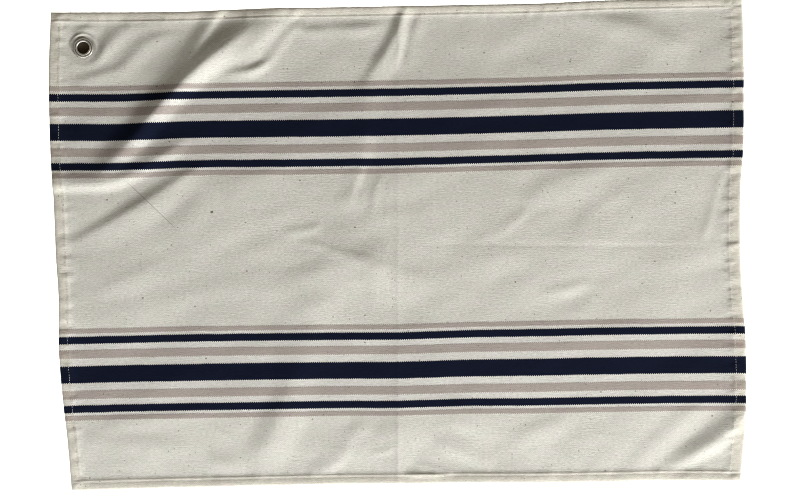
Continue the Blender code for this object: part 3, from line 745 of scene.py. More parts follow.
def new_object(name, mesh):
    obj = bpy.data.objects.new(name, mesh)
    bpy.context.scene.collection.objects.link(obj)
    return obj


def keep_on_points(mesh, name, vectors):
    """Gives each of a mesh's points a vector that its material can read."""
    place = mesh.attributes.new(name, "FLOAT_VECTOR", "POINT")
    place.data.foreach_set("vector", vectors.astype(np.float32).ravel())


def grid_lines(length, low_hem, high_hem, cuts):
    """Places of the sheet's grid lines: close together at the edge, the stitches, a hem's step and cuts."""

    def edge_lines(hem):
        stitch, width = hem.stitch * MM, hem.width * MM
        sink = STITCH_SINK_REACH
        groove = (stitch - sink, stitch - sink / 2, stitch, stitch + sink / 2)
        step = (width + HEM_STEP / 8, width + HEM_STEP / 2, width + HEM_STEP)
        return [*EDGE_LINES, *groove, *step]

    low, high = edge_lines(low_hem), edge_lines(high_hem)
    fixed = [low[-1], *cuts, length - high[-1]]
    inner = []
    for start, end in zip(fixed[:-1], fixed[1:]):
        pieces = max(1, round((end - start) / GRID_STEP))
        inner += [start + (end - start) * k / pieces for k in range(1, pieces + 1)]
    return np.array([0, *low, *inner, *[length - place for place in reversed(high[:-1])], length])


def make_cloth():
    """The striped cloth, with its hems, as one closed sheet with a round hole for the eyelet."""
    hem = {hem.side: hem for hem in HEMS}
    crease, crease_gap = WIDTH / 2, CREASE_LINE_GAP
    dent, dent_gap = flat_place(*PRESS_DENT_MIDDLE)[1] * MM, DENT_LINE_GAP
    u_lines = grid_lines(WIDTH, hem["left"], hem["right"], (crease - crease_gap, crease, crease + crease_gap))
    v_lines = grid_lines(DEPTH, hem["front"], hem["back"], (dent - dent_gap, dent, dent + dent_gap))
    u, v = [axis.ravel() for axis in np.meshgrid(u_lines, v_lines)]
    columns, rows = len(u_lines), len(v_lines)
    x, y = plan(u, v)
    front, back = faces_of_cloth(u, v)
    share = hem_share(u, v)

    # The points behind are the front's own at the outer edge, and new ones inside it. The cells behind go
    # round their corners the other way.
    number = np.arange(columns * rows).reshape(rows, columns)
    inside = np.zeros((rows, columns), dtype=bool)
    inside[1:-1, 1:-1] = True
    behind = number.copy()
    behind[inside] = columns * rows + np.arange(inside.sum())

    def cells_of(grid):
        return np.stack([grid[:-1, :-1], grid[:-1, 1:], grid[1:, 1:], grid[1:, :-1]], axis=-1).reshape(-1, 4)

    def both(over, under):
        return np.append(over, under[inside.ravel()])

    cells, cells_behind = cells_of(number), cells_of(behind)[:, [0, 3, 2, 1]]
    middle_x, middle_y = x[cells].mean(axis=1), y[cells].mean(axis=1)
    kept = np.hypot(middle_x - EYELET_X, middle_y - EYELET_Y) > CLOTH_HOLE_RADIUS + GRID_STEP / 3
    points = np.column_stack([both(x, x), both(y, y), both(front, back)])

    mesh = bpy.data.meshes.new("towel_sheet")
    mesh.from_pydata(points.tolist(), [], np.concatenate([cells[kept], cells_behind[kept]]).tolist())
    keep_on_points(mesh, "flat_place", np.column_stack([both(u, u), both(v, v), both(share, share)]))
    close_eyelet_hole(mesh)
    mesh.shade_smooth()
    return new_object("towel_sheet", mesh)


def close_eyelet_hole(mesh):
    """Draws the points round the hole onto its circle, joins front and back there, and drops loose points."""
    bm = bmesh.new()
    bm.from_mesh(mesh)
    bmesh.ops.delete(bm, geom=[vert for vert in bm.verts if not vert.link_faces], context="VERTS")
    rim = [edge for edge in bm.edges if edge.is_boundary]
    for vert in {vert for edge in rim for vert in edge.verts}:
        out = Vector((vert.co.x - EYELET_X, vert.co.y - EYELET_Y)).normalized() * CLOTH_HOLE_RADIUS
        vert.co.x, vert.co.y = EYELET_X + out.x, EYELET_Y + out.y
    bmesh.ops.bridge_loops(bm, edges=rim)
    bmesh.ops.recalc_face_normals(bm, faces=bm.faces)
    bm.to_mesh(mesh)
    bm.free()


def stitch_ends(hem, draw):
    """Flat places of the ends of one hem's stitches. Side hems stop under the front and back hems."""
    upright = hem.side in SIDE_HEMS
    length, clear = (DEPTH, SIDE_ROW_CLEAR) if upright else (WIDTH, END_ROW_CLEAR)
    middles = np.arange(clear, length - clear, STITCH_PITCH)
    middles = middles + draw.uniform(-STRAY_ALONG, STRAY_ALONG, len(middles))
    from_edge = hem.stitch * MM + draw.uniform(-STRAY_ACROSS, STRAY_ACROSS, len(middles))
    slant = draw.uniform(-STRAY_ASLANT, STRAY_ASLANT, len(middles))
    ends = []
    for side in (-1, 1):
        along, off = middles + side * STITCH_LENGTH / 2, from_edge + side * slant
        if hem.side == "right":
            off = WIDTH - off
        if hem.side == "back":
            off = DEPTH - off
        ends.append(np.stack((off, along) if upright else (along, off), axis=1))
    return ends


def make_stitching(name, sides, seed):
    """Rows of thread stitches, each a small arch of thread that dips into the cloth at its ends."""
    draw = np.random.default_rng(seed)
    rows = [stitch_ends(hem, draw) for hem in HEMS if hem.side in sides]
    starts, ends = [np.concatenate(places) for places in zip(*rows)]

    centres = []
    for ring in STITCH_RINGS:
        flat = starts + (ends - starts) * ring.along
        x, y = plan(flat[:, 0], flat[:, 1])
        top, _ = faces_of_cloth(flat[:, 0], flat[:, 1])
        centres.append(np.stack([x, y, top + ring.rise * THREAD_RADIUS], axis=1))
    centres = np.stack(centres, axis=1)
    run = centres[:, -1] - centres[:, 0]
    run /= np.linalg.norm(run, axis=1, keepdims=True)
    side = np.cross(run, (0, 0, 1))
    side /= np.linalg.norm(side, axis=1, keepdims=True)
    up = np.cross(side, run)

    angles = np.arange(THREAD_SIDES) / THREAD_SIDES * 2 * math.pi
    radii = np.array([ring.radius for ring in STITCH_RINGS]) * THREAD_RADIUS
    round_it = side[:, None, :] * np.cos(angles)[:, None] + up[:, None, :] * np.sin(angles)[:, None]
    points = centres[:, :, None, :] + radii[:, None, None] * round_it[:, None, :, :]

    one = []
    for ring in range(len(STITCH_RINGS) - 1):
        for k in range(THREAD_SIDES):
            near, far = ring * THREAD_SIDES + k, ring * THREAD_SIDES + (k + 1) % THREAD_SIDES
            one.append((near, far, far + THREAD_SIDES, near + THREAD_SIDES))
    last = (len(STITCH_RINGS) - 1) * THREAD_SIDES
    caps = [tuple(range(THREAD_SIDES - 1, -1, -1)), tuple(range(last, last + THREAD_SIDES))]
    each = len(STITCH_RINGS) * THREAD_SIDES
    faces = [tuple(k + stitch * each for k in face) for stitch in range(len(starts)) for face in one + caps]

    mesh = bpy.data.meshes.new(name)
    mesh.from_pydata(points.reshape(-1, 3).tolist(), [], faces)
    twist = np.zeros(points.shape)
    twist[..., 0] = (np.array([ring.along for ring in STITCH_RINGS]) * STITCH_LENGTH)[None, :, None]
    twist[..., 1] = angles[None, None, :]
    keep_on_points(mesh, "thread_place", twist)
    mesh.shade_smooth()
    return new_object(name, mesh)


def turned(name, profile):
    """Ring turned about the eyelet's axis from a closed profile of (radius, height) points."""
    mesh = bpy.data.meshes.new(name)
    points = [(radius, 0, height) for radius, height in profile]
    mesh.from_pydata(points, [(k, (k + 1) % len(points)) for k in range(len(points))], [])
    obj = new_object(name, mesh)
    obj.location = (EYELET_X, EYELET_Y, 0)
    screw = obj.modifiers.new("turn", "SCREW")
    screw.steps = TURN_STEPS
    screw.render_steps = TURN_STEPS
    screw.use_merge_vertices = True
    screw.merge_threshold = MERGE_DISTANCE
    screw.use_smooth_shade = True
    return obj


def arc(centre_radius, centre_height, radius_out, radius_up, start, end, points):
    """Points of an oval arc in a profile, from the start angle to the end angle in degrees."""
    angles = np.radians(np.linspace(start, end, points))
    return [
        (centre_radius + radius_out * math.cos(a), centre_height + radius_up * math.sin(a))
        for a in angles
    ]


def make_eyelet():
    """Back flange, barrel through the cloth, and the lip rolled over at the front."""
    edge = FLANGE_THICKNESS / 2
    lip_middle = (BARREL_RADIUS + LIP_RADIUS) / 2
    reach = LIP_RADIUS - lip_middle
    profile = arc(lip_middle, LIP_BASE, reach, LIP_HEIGHT, 90, -60, 14)
    profile += [(BARREL_RADIUS, LIP_BASE - LIP_HEIGHT / 2), (BARREL_RADIUS, FLANGE_THICKNESS)]
    profile += arc(FLANGE_RADIUS - edge, edge, edge, edge, 90, -90, 9)
    profile += arc(BARREL_RADIUS, BARREL_WALL, BARREL_WALL, BARREL_WALL, 270, 180, 6)
    profile += arc(lip_middle, LIP_BASE, lip_middle - HOLE_RADIUS, LIP_HEIGHT, 180, 98, 10)
    return turned("eyelet_rim", profile)


def make_washer():
    """Pressed ring on the front of the cloth, domed outside the rolled lip."""
    inside = LIP_RADIUS + GAP / 2
    middle = (inside + WASHER_RADIUS) / 2
    reach = WASHER_RADIUS - middle
    dome = WASHER_CREST - WASHER_EDGE
    edge_top = WASHER_BASE + WASHER_EDGE + GAP
    profile = arc(middle, edge_top, reach, dome, 90, 0, 8)
    profile += [(WASHER_RADIUS, WASHER_BASE), (CLOTH_HOLE_RADIUS, WASHER_BASE)]
    profile += [(CLOTH_HOLE_RADIUS, edge_top - GAP)]
    profile += arc(middle, edge_top, reach, dome, 180, 98, 8)
    return turned("eyelet_ring", profile)


# Materials --------------------------------------------------------------------------------------------------


class Graph:
    """Adds nodes to one tree. An input is given by name or number, as a value or as an output to link."""

    def __init__(self, tree):
        self.tree = tree
        tree.nodes.clear()

    def add(self, kind, inputs=None, **settings):
        made = self.tree.nodes.new("ShaderNode" + kind)
        for name, value in settings.items():
            setattr(made, name, value)
        self.fill(made, inputs or {})
        return made

    def fill(self, made, inputs):
        for name, value in inputs.items():
            socket = made.inputs[name]
            if isinstance(value, bpy.types.NodeSocket):
                self.tree.links.new(value, socket)
            elif socket.type == "RGBA":
                socket.default_value = (*value, 1)
            else:
                socket.default_value = value

    def use(self, group, inputs):
        made = self.tree.nodes.new("ShaderNodeGroup")
        made.node_tree = group
        self.fill(made, inputs)
        return made.outputs

    def math(self, operation, *values):
        return self.add("Math", dict(enumerate(values)), operation=operation).outputs[0]

    def vector(self, operation, *values):
        """Vector math. A length and a dot product come out as plain values."""
        outputs = self.add("VectorMath", dict(enumerate(values)), operation=operation).outputs
        return outputs["Value" if operation in ("LENGTH", "DOT_PRODUCT") else "Vector"]

    def parts(self, vector):
        return self.add("SeparateXYZ", {0: vector}).outputs

    def joined(self, x, y=0.0):
        return self.add("CombineXYZ", {0: x, 1: y}).outputs[0]

    def ranged(self, value, low, high, to_low=0.0, to_high=1.0):
        """A value's range low..high mapped to to_low..to_high, and held there."""
        inputs = {"Value": value, "From Min": low, "From Max": high, "To Min": to_low, "To Max": to_high}
        return self.add("MapRange", inputs).outputs[0]

    def bell(self, value):
        """1 where the value is 0, falling smoothly away to both sides."""
        square = self.math("MULTIPLY", value, value)
        return self.math("EXPONENT", self.math("MULTIPLY", square, -1.0))

    def around_one(self, value, strength, gain):
        """A tone that strays from 1 as a noise value strays from a half."""
        stray = self.math("SUBTRACT", value, 0.5)
        return self.math("ADD", self.math("MULTIPLY", stray, self.math("MULTIPLY", strength, gain)), 1.0)

    def mix(self, share, a, b, blend="MIX"):
        return self.add("Mix", {0: share, 6: a, 7: b}, data_type="RGBA", blend_type=blend).outputs[2]

    def shade(self, colour, tone):
        """A colour made lighter or darker by a tone around 1, or tinted."""
        return self.mix(1.0, colour, tone, "MULTIPLY")

    def noise(self, place, scale=1.0, detail=2.0, roughness=0.5):
        inputs = {"Vector": place, "Scale": scale, "Detail": detail, "Roughness": roughness}
        return self.add("TexNoise", inputs).outputs[0]

    def stretched(self, place, scale, turn=0.0):
        """Coordinates scaled apart along each axis, and turned by degrees."""
        inputs = {"Vector": place, "Scale": scale, "Rotation": (0, 0, math.radians(turn))}
        return self.add("Mapping", inputs).outputs[0]

    def kept_on_points(self, name):
        return self.add("Attribute", attribute_name=name).outputs["Vector"]

    def place(self):
        """Place in the piece's own space, in millimetres."""
        return self.vector("MULTIPLY", self.add("TexCoord").outputs["Object"], (1 / MM,) * 3)

    def ramp(self, value, stops):
        """Colour ramp with stops of (place, colour)."""
        made = self.add("ValToRGB", {0: value})
        elements = made.color_ramp.elements
        while len(elements) < len(stops):
            elements.new(0.5)
        for k, (place, colour) in enumerate(stops):
            elements[k].position = place
            elements[k].color = (*colour, 1)
        return made.outputs[0]

    def raised(self, *layers):
        """Normal of a surface with layers of (height, bump), each on top of those before it."""
        below = {}
        for height, bump in layers:
            inputs = {"Height": height, "Strength": bump.strength, "Distance": bump.height, **below}
            below = {"Normal": self.add("Bump", inputs).outputs[0]}
        return below["Normal"]


def shader_group(name, inputs, outputs):
    """An empty node group with plain values as outputs: its tree, graph, inputs and output node."""
    tree = bpy.data.node_groups.new(name, "ShaderNodeTree")
    for socket_name, value in inputs.items():
        kind = "NodeSocketVector" if isinstance(value, tuple) else "NodeSocketFloat"
        socket = tree.interface.new_socket(name=socket_name, in_out="INPUT", socket_type=kind)
        socket.default_value = value
    for socket_name in outputs:
        tree.interface.new_socket(name=socket_name, in_out="OUTPUT", socket_type="NodeSocketFloat")
    graph = Graph(tree)
    return tree, graph, tree.nodes.new("NodeGroupInput").outputs, tree.nodes.new("NodeGroupOutput")


def make_uneven_tone():
    """Slow light and dark over a surface, around 1."""
    inputs = {"Place": ORIGIN, "Lump Size": 40.0, "Strength": 0.05}
    tree, graph, given, out = shader_group("uneven tone", inputs, ["Tone"])
    value = graph.noise(given["Place"], graph.math("DIVIDE", 1.0, given["Lump Size"]), detail=3.0)
    graph.fill(out, {"Tone": graph.around_one(value, given["Strength"], gain=4.0)})
    return tree


def make_cotton_fibre():
    """Fine fuzz of cotton: a height for bump, and a tone around 1."""
    inputs = {"Place": ORIGIN, "Size": 0.25, "Strength": 0.05}
    tree, graph, given, out = shader_group("cotton fibre", inputs, ["Height", "Tone"])
    scale = graph.math("DIVIDE", 1.0, given["Size"])
    value = graph.noise(given["Place"], scale, detail=3.0, roughness=0.65)
    graph.fill(out, {"Height": value, "Tone": graph.around_one(value, given["Strength"], gain=3.0)})
    return tree


def make_twill():
    """Weave of the cloth, with its diagonal ribs: a height for bump. Lengths in millimetres."""
    inputs = {"Place": ORIGIN, "Yarn Pitch": 0.5}
    tree, graph, given, out = shader_group("twill weave", inputs, ["Height"])
    x, y, _ = graph.parts(given["Place"])
    across = graph.math("DIVIDE", x, given["Yarn Pitch"])
    up = graph.math("DIVIDE", y, given["Yarn Pitch"])
    diagonal = graph.math("MULTIPLY", graph.math("ADD", across, up), math.pi / 2)
    rib = graph.math("MULTIPLY_ADD", graph.math("SINE", diagonal), 0.5, 0.5)

    def roundness(place):
        """Height of the yarns that lie side by side along one axis."""
        return graph.math("ABSOLUTE", graph.math("SINE", graph.math("MULTIPLY", place, math.pi)))

    yarn = graph.add("Mix", {0: rib, 2: roundness(up), 3: roundness(across)}, data_type="FLOAT").outputs[0]
    height = graph.math("MULTIPLY_ADD", rib, 0.5, graph.math("MULTIPLY", yarn, 0.5))
    graph.fill(out, {"Height": height})
    return tree


def make_slubs():
    """Thick and thin places in the yarns, long one way: a tone around 1, and a height for bump."""
    inputs = {"Place": ORIGIN, "Length": 20.0, "Width": 0.8, "Strength": 0.04}
    tree, graph, given, out = shader_group("yarn slubs", inputs, ["Tone", "Height"])
    x, y, _ = graph.parts(given["Place"])
    drawn = graph.joined(graph.math("DIVIDE", x, given["Length"]), graph.math("DIVIDE", y, given["Width"]))
    value = graph.noise(drawn, roughness=0.6)
    graph.fill(out, {"Tone": graph.around_one(value, given["Strength"], gain=4.0), "Height": value})
    return tree


def make_hem_wrinkles():
    """Small wrinkles across a hem, drawn together by its stitches: a height for bump. In millimetres."""
    inputs = {"Along": 0.0, "From Stitches": 0.0, "Pitch": 9.0, "Reach": 8.0, "Strength": 1.0}
    tree, graph, given, out = shader_group("hem wrinkles", inputs, ["Height"])
    along = graph.math("DIVIDE", given["Along"], given["Pitch"])
    drawn = graph.joined(along, graph.math("MULTIPLY", given["From Stitches"], WRINKLE_DRAW))
    value = graph.ranged(graph.noise(drawn, detail=1.0, roughness=0.4), *WRINKLE_RANGE)
    fading = graph.bell(graph.math("DIVIDE", given["From Stitches"], given["Reach"]))
    height = graph.math("MULTIPLY", graph.math("MULTIPLY", value, fading), given["Strength"])
    graph.fill(out, {"Height": height})
    return tree


def make_raised_ring():
    """Cloth pushed up in a ring round a point, most on one side: a height for bump. In millimetres."""
    inputs = {
        "Place": ORIGIN,
        "Across": 0.0,
        "Up": 0.0,
        "Radius": 13.0,
        "Width": 1.5,
        "Towards": (0.0, 1.0, 0.0),
    }
    tree, graph, given, out = shader_group("raised ring", inputs, ["Height"])
    centre = graph.joined(given["Across"], given["Up"])
    away = graph.vector("SUBTRACT", graph.stretched(given["Place"], (1, 1, 0)), centre)
    off = graph.math("SUBTRACT", graph.vector("LENGTH", away), given["Radius"])
    height = graph.bell(graph.math("DIVIDE", off, given["Width"]))
    facing = graph.vector("DOT_PRODUCT", graph.vector("NORMALIZE", away), given["Towards"])
    share = graph.ranged(facing, *PUFF_FACING, PUFF_LEAST)
    graph.fill(out, {"Height": graph.math("MULTIPLY", height, share)})
    return tree


def make_mark():
    """Mask of a soft-edged oval mark on the cloth, in millimetres and radians."""
    inputs = {"Place": ORIGIN, "Across": 0.0, "Up": 0.0, "Turn": 0.0, "Half Length": 10.0, "Half Width": 1.0}
    tree, graph, given, out = shader_group("mark", inputs, ["Mask"])
    moved = graph.vector("SUBTRACT", given["Place"], graph.joined(given["Across"], given["Up"]))
    angle = graph.math("MULTIPLY", given["Turn"], -1.0)
    lying = graph.add("VectorRotate", {"Vector": moved, "Angle": angle}, rotation_type="Z_AXIS").outputs[0]
    x, y, _ = graph.parts(lying)
    along = graph.math("ABSOLUTE", graph.math("DIVIDE", x, given["Half Length"]))
    across = graph.math("ABSOLUTE", graph.math("DIVIDE", y, given["Half Width"]))
    end = graph.math("POWER", along, MARK_END_POWER)
    side = graph.math("POWER", across, MARK_SIDE_POWER)
    graph.fill(out, {"Mask": graph.ranged(graph.math("ADD", end, side), *MARK_EDGE, 1.0, 0.0)})
    return tree


def new_material(name, look):
    material = bpy.data.materials.new(name)
    material.use_nodes = True
    graph = Graph(material.node_tree)
    inputs = {"Base Color": look.colour, "Roughness": look.roughness, "Metallic": look.metallic}
    shader = graph.add("BsdfPrincipled", inputs)
    graph.add("OutputMaterial", {"Surface": shader.outputs[0]})
    return material, graph, shader


def band_stops(values, blur):
    """Ramp stops for the bands: each band's value, with a blend to the next of twice the blur."""
    stops = [(0.0, values[BANDS[0].yarn])]
    following = [band.yarn for band in BANDS[1:]] + ["ground"]
    for band, after in zip(BANDS, following):
        stops.append(((band.end - blur) / RAMP_SPAN, values[band.yarn]))
        stops.append(((band.end + blur) / RAMP_SPAN, values[after]))
    return stops


def stripes(graph, place):
    """Colour and relief of the bands, from how far the nearer stripe group's middle is."""
    u, v, _ = graph.parts(place)
    steps = graph.ranged(graph.math("PINGPONG", u, STEP_HALF_PITCH), *STEP_SLOPE, -STEP_REACH, STEP_REACH)
    wander = graph.noise(graph.stretched(place, WANDER_STRETCH))
    wander = graph.math("MULTIPLY_ADD", wander, 2 * WANDER_REACH, -WANDER_REACH)
    across = graph.math("ADD", v, graph.math("ADD", steps, wander))
    offs = [graph.math("ABSOLUTE", graph.math("SUBTRACT", across, middle / MM)) for middle in GROUP_MIDDLES]
    off = graph.math("DIVIDE", graph.math("MINIMUM", *offs), RAMP_SPAN)
    reliefs = {yarn: (height,) * 3 for yarn, height in YARN_RELIEF.items()}
    return graph.ramp(off, band_stops(YARNS, BAND_BLUR)), graph.ramp(off, band_stops(reliefs, RELIEF_BLUR))


def flecked(graph, place, colour):
    """The cloth's colour with its flecks of seed husk."""
    dark = graph.shade(colour, FLECK_TINT)
    for fleck in FLECKS:
        cells = graph.add("TexVoronoi", {"Vector": place, "Scale": 1 / fleck.spacing, "Randomness": 1.0})
        distance = graph.math("MULTIPLY", cells.outputs["Distance"], fleck.spacing)
        mask = graph.ranged(distance, fleck.radius * FLECK_CORE, fleck.radius, 1.0, 0.0)
        draw = graph.add("SeparateColor", {0: cells.outputs["Color"]}).outputs[0]
        chosen = graph.ranged(draw, 1 - fleck.share, 1.0, 0.0, fleck.strength)
        colour = graph.mix(graph.math("MULTIPLY", mask, chosen), colour, dark)
    return colour


def marked(graph, groups, place, colour):
    """The cloth's colour with its marks."""
    for mark in MARKS:
        across, up = flat_place(mark.x, mark.y)
        inputs = {
            "Place": place,
            "Across": across,
            "Up": up,
            "Turn": math.radians(mark.turn),
            "Half Length": mark.half_length,
            "Half Width": mark.half_width,
        }
        mask = graph.use(groups["mark"], inputs)["Mask"]
        colour = graph.mix(graph.math("MULTIPLY", mask, mark.strength), colour, mark.colour)
    return colour


def wrinkled_hems(graph, groups, place):
    """Height of the wrinkles across all the hems."""
    u, v, _ = graph.parts(place)
    height = 0.0
    for hem in HEMS:
        across, along, length = (u, v, WIDTH) if hem.side in SIDE_HEMS else (v, u, DEPTH)
        if hem.side in ("right", "back"):
            across = graph.math("SUBTRACT", length / MM, across)
        inputs = {
            "Along": graph.math("ADD", along, WRINKLE_START * hem.seed),
            "From Stitches": graph.math("SUBTRACT", across, hem.stitch),
            "Pitch": hem.pucker_pitch,
            "Reach": hem.pucker_reach,
            "Strength": hem.pucker_height,
        }
        height = graph.math("ADD", height, graph.use(groups["wrinkles"], inputs)["Height"])
    return height


def make_cotton(groups):
    """Striped twill cotton. Place is the flat cloth's, in millimetres."""
    material, graph, shader = new_material("striped cotton", COTTON)
    flat = graph.kept_on_points("flat_place")
    place = graph.vector("MULTIPLY", flat, (1 / MM, 1 / MM, 0))
    crosswise = graph.stretched(place, (1, 1, 1), 90)
    colour, relief = stripes(graph, place)

    # Tone: slubs along and across, a grain of uneven yarn, slow unevenness, and painted shade between the
    # ribs.
    twill = graph.use(groups["twill"], {"Place": place, "Yarn Pitch": YARN_PITCH})
    fibre = graph.use(groups["fibre"], {"Place": place, "Size": 0.35, "Strength": 0.08})
    weft = graph.use(groups["slubs"], {"Place": place, "Length": 20.0, "Width": 1.1, "Strength": 0.06})
    warp = graph.use(groups["slubs"], {"Place": crosswise, "Length": 8.0, "Width": 0.9, "Strength": 0.025})
    grain = graph.use(groups["slubs"], {"Place": place, "Length": 3.4, "Width": 1.0, "Strength": 0.18})
    slow = graph.use(groups["tone"], {"Place": place, "Lump Size": 60.0, "Strength": 0.02})
    rib = graph.ranged(twill["Height"], 0.0, 1.0, *RIB_PAINTED_SHADE)
    for tone in (weft["Tone"], warp["Tone"], grain["Tone"], slow["Tone"], rib, fibre["Tone"]):
        colour = graph.shade(colour, tone)

    # Faint green and pink patches, and a creamier hem, where the cloth is doubled.
    patch = graph.ranged(graph.noise(graph.stretched(place, PATCH_STRETCH)), *PATCH_RANGE)
    colour = graph.shade(colour, graph.mix(patch, GREEN_TINT, PINK_TINT))
    colour = graph.mix(graph.parts(flat)[2], colour, graph.shade(colour, HEM_TINT))
    colour = marked(graph, groups, place, flecked(graph, place, colour))

    puff = {
        "Place": graph.place(),
        "Across": EYELET_X / MM + PUFF_OFFSET[0],
        "Up": EYELET_Y / MM + PUFF_OFFSET[1],
        "Radius": PUFF_RADIUS,
        "Width": PUFF_WIDTH,
        "Towards": PUFF_TOWARDS,
    }
    normal = graph.raised(
        (twill["Height"], WEAVE_BUMP),
        (weft["Height"], SLUB_BUMP),
        (relief, BAND_BUMP),
        (grain["Height"], GRAIN_BUMP),
        (fibre["Height"], FUZZ_BUMP),
        (wrinkled_hems(graph, groups, place), WRINKLE_BUMP),
        (graph.use(groups["ring"], puff)["Height"], PUFF_BUMP),
    )
    graph.fill(shader, {"Base Color": colour, "Normal": normal})
    graph.fill(shader, {"Sheen Weight": 0.02, "Sheen Roughness": 0.5, "Specular IOR Level": 0.04})
    return material


def make_thread(groups):
    """White sewing thread with a twist, and painted shade in the grooves of the twist."""
    material, graph, shader = new_material("sewing thread", THREAD)
    along, angle, _ = graph.parts(graph.kept_on_points("thread_place"))
    turns = graph.math("MULTIPLY_ADD", along, 2 * math.pi / THREAD_TWIST, angle)
    ply = graph.math("MULTIPLY_ADD", graph.math("SINE", turns), 0.5, 0.5)
    place = graph.place()
    fibre = graph.use(groups["fibre"], {"Place": place, "Size": 0.2, "Strength": 0.08})
    slow = graph.use(groups["tone"], {"Place": place, "Lump Size": 12.0, "Strength": 0.03})
    colour = THREAD.colour
    # The ply tone is painted shade in the grooves of the thread's twist.
    for tone in (graph.ranged(ply, 0.0, 1.0, *PLY_PAINTED_SHADE), fibre["Tone"], slow["Tone"]):
        colour = graph.shade(colour, tone)
    graph.fill(shader, {"Base Color": colour, "Normal": graph.raised((ply, PLY_BUMP))})
    return material


def make_nickel(groups):
    """Plated metal, a little uneven, finely scratched round the ring, with painted shade in its groove and
    rim.
    """
    material, graph, shader = new_material("nickel plate", NICKEL)
    place = graph.place()
    slow = graph.use(groups["tone"], {"Place": place, "Lump Size": 3.0, "Strength": 0.06})
    radius = graph.vector("LENGTH", graph.stretched(place, (1, 1, 0)))
    scratch = graph.noise(graph.joined(graph.math("MULTIPLY", radius, SCRATCHES)), detail=3.0, roughness=0.7)
    pits = graph.noise(place, scale=3.0, detail=4.0, roughness=0.7)

    # Painted shade in the groove between the lip and the ring, and a painted dark reflection at the ring's
    # outer edge.
    from_groove = graph.math("ABSOLUTE", graph.math("SUBTRACT", radius, LIP_RADIUS / MM))
    groove = graph.ranged(from_groove, *GROOVE_SHADE_FADE, 1.0, 0.0)
    rim = graph.ranged(radius, WASHER_RADIUS / MM - RIM_REFLECTION_WIDTH, WASHER_RADIUS / MM)
    painted_shade = graph.math("MULTIPLY", graph.math("MAXIMUM", groove, rim), PAINTED_SHADE_STRENGTH)
    colour = graph.mix(painted_shade, graph.shade(NICKEL.colour, slow["Tone"]), PAINTED_SHADE_COLOUR)

    scratched = graph.math("MULTIPLY", scratch, SCRATCH_ROUGHNESS)
    worn = graph.math("ADD", graph.ranged(pits, *PIT_RANGE, *PIT_ROUGHNESS), scratched)
    rough = graph.math("MULTIPLY_ADD", painted_shade, PAINTED_SHADE_ROUGHNESS, worn)
    normal = graph.raised((scratch, SCRATCH_BUMP))
    graph.fill(shader, {"Base Color": colour, "Roughness": rough, "Normal": normal})
    return material


# Stage ------------------------------------------------------------------------------------------------------


def flat_stage_piece(name, material, location, shape, **sizes):
    """A flat thing that isn't part of the towel, in one of the shapes that bmesh makes."""
    mesh = bpy.data.meshes.new(name)
    bm = bmesh.new()
    shape(bm, **sizes)
    bm.to_mesh(mesh)
    bm.free()
    piece = new_object(name, mesh)
    piece.location = location
    piece.data.materials.append(material)
    return piece


def make_floor():
    material, _, _ = new_material("pale floor", FLOOR)
    sizes = {"x_segments": 1, "y_segments": 1, "size": FLOOR_SIZE / 2}
    return flat_stage_piece("floor", material, (0, 0, -FLOOR_DROP), bmesh.ops.create_grid, **sizes)


def make_card():
    """Dark card on the floor under the eyelet, seen through its hole: it stands in for shade and a dark
    surface.
    """
    material, _, _ = new_material("dark card", CARD)
    location = (EYELET_X, EYELET_Y, -FLOOR_DROP / 2)
    sizes = {"cap_ends": True, "segments": CARD_SIDES, "radius": CARD_RADIUS}
    flat_stage_piece("card", material, location, bmesh.ops.create_circle, **sizes)


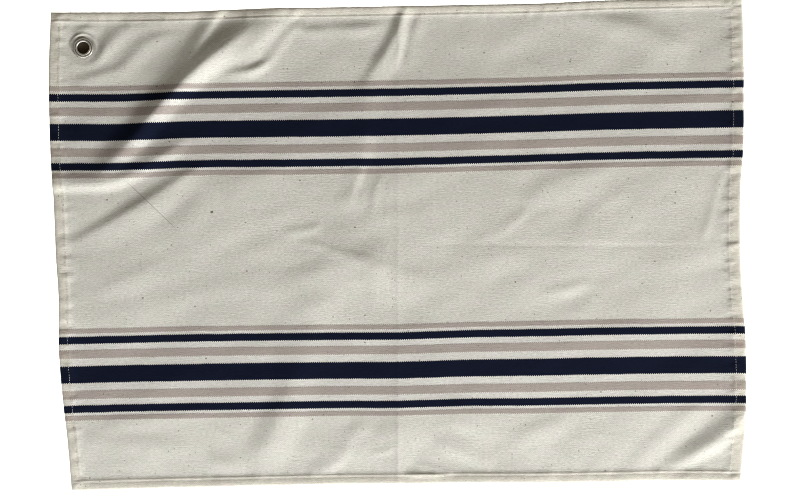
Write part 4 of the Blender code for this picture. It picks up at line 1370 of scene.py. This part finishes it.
def make_lights(floor):
    for lamp in LAMPS:
        bearing, rise = math.radians(lamp.bearing), math.radians(lamp.rise)
        flat = math.cos(rise)
        towards = Vector((math.cos(bearing) * flat, math.sin(bearing) * flat, math.sin(rise)))
        light = bpy.data.lights.new(lamp.name, "AREA")
        light.shape = "RECTANGLE"
        light.energy = lamp.power
        light.color = lamp.colour
        light.size = lamp.width
        light.size_y = lamp.height
        obj = new_object(lamp.name, light)
        obj.location = towards * lamp.distance
        obj.rotation_euler = towards.to_track_quat("Z", "Y").to_euler()
        obj.visible_camera = False
        obj.visible_diffuse = lamp.lights != "shine"
        if lamp.lights == "floor":
            lit = bpy.data.collections.new("lit by the " + lamp.name)
            lit.objects.link(floor)
            obj.light_linking.receiver_collection = lit
    world = bpy.data.worlds.new("even surround")
    world.use_nodes = True
    surround = world.node_tree.nodes["Background"].inputs
    surround["Color"].default_value = (*SURROUND_COLOUR, 1)
    surround["Strength"].default_value = SURROUND
    bpy.context.scene.world = world


def make_camera():
    camera = bpy.data.cameras.new("camera")
    camera.sensor_width = SENSOR_WIDTH
    camera.lens = SENSOR_WIDTH * CAMERA_HEIGHT / FRAME_WIDTH
    obj = new_object("camera", camera)
    obj.location = (*FRAME_CENTRE, CAMERA_HEIGHT)
    bpy.context.scene.camera = obj


def set_picture():
    """Plain colours, and a narrow pixel filter and an unsmoothed denoiser guide to keep the weave crisp."""
    bpy.context.scene.view_settings.view_transform = "Standard"
    bpy.context.scene.cycles.filter_width = PIXEL_FILTER
    bpy.context.scene.cycles.denoising_prefilter = "NONE"


def main():
    make_camera()
    set_picture()
    make_lights(make_floor())
    make_card()
    groups = {
        "tone": make_uneven_tone(),
        "fibre": make_cotton_fibre(),
        "twill": make_twill(),
        "slubs": make_slubs(),
        "wrinkles": make_hem_wrinkles(),
        "ring": make_raised_ring(),
        "mark": make_mark(),
    }
    cotton, thread, nickel = make_cotton(groups), make_thread(groups), make_nickel(groups)

    cloth = make_cloth()
    side_stitches = make_stitching("side_hem_stitches", SIDE_HEMS, SIDE_STITCH_SEED)
    end_stitches = make_stitching("end_hem_stitches", END_HEMS, END_STITCH_SEED)
    eyelet = make_eyelet()
    washer = make_washer()

    looks = (
        (cloth, cotton, "striped_cotton"),
        (side_stitches, thread, "striped_cotton"),
        (end_stitches, thread, "striped_cotton"),
        (eyelet, nickel, "nickel_plate"),
        (washer, nickel, "nickel_plate"),
    )
    for piece, material, slot in looks:
        piece.data.materials.append(material)
        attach(piece, "root")
    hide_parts("towel_cloth", "eyelet_corner")
    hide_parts("eyelet")
    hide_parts("eyelet_washer")


main()
bpy.context.view_layer.update()
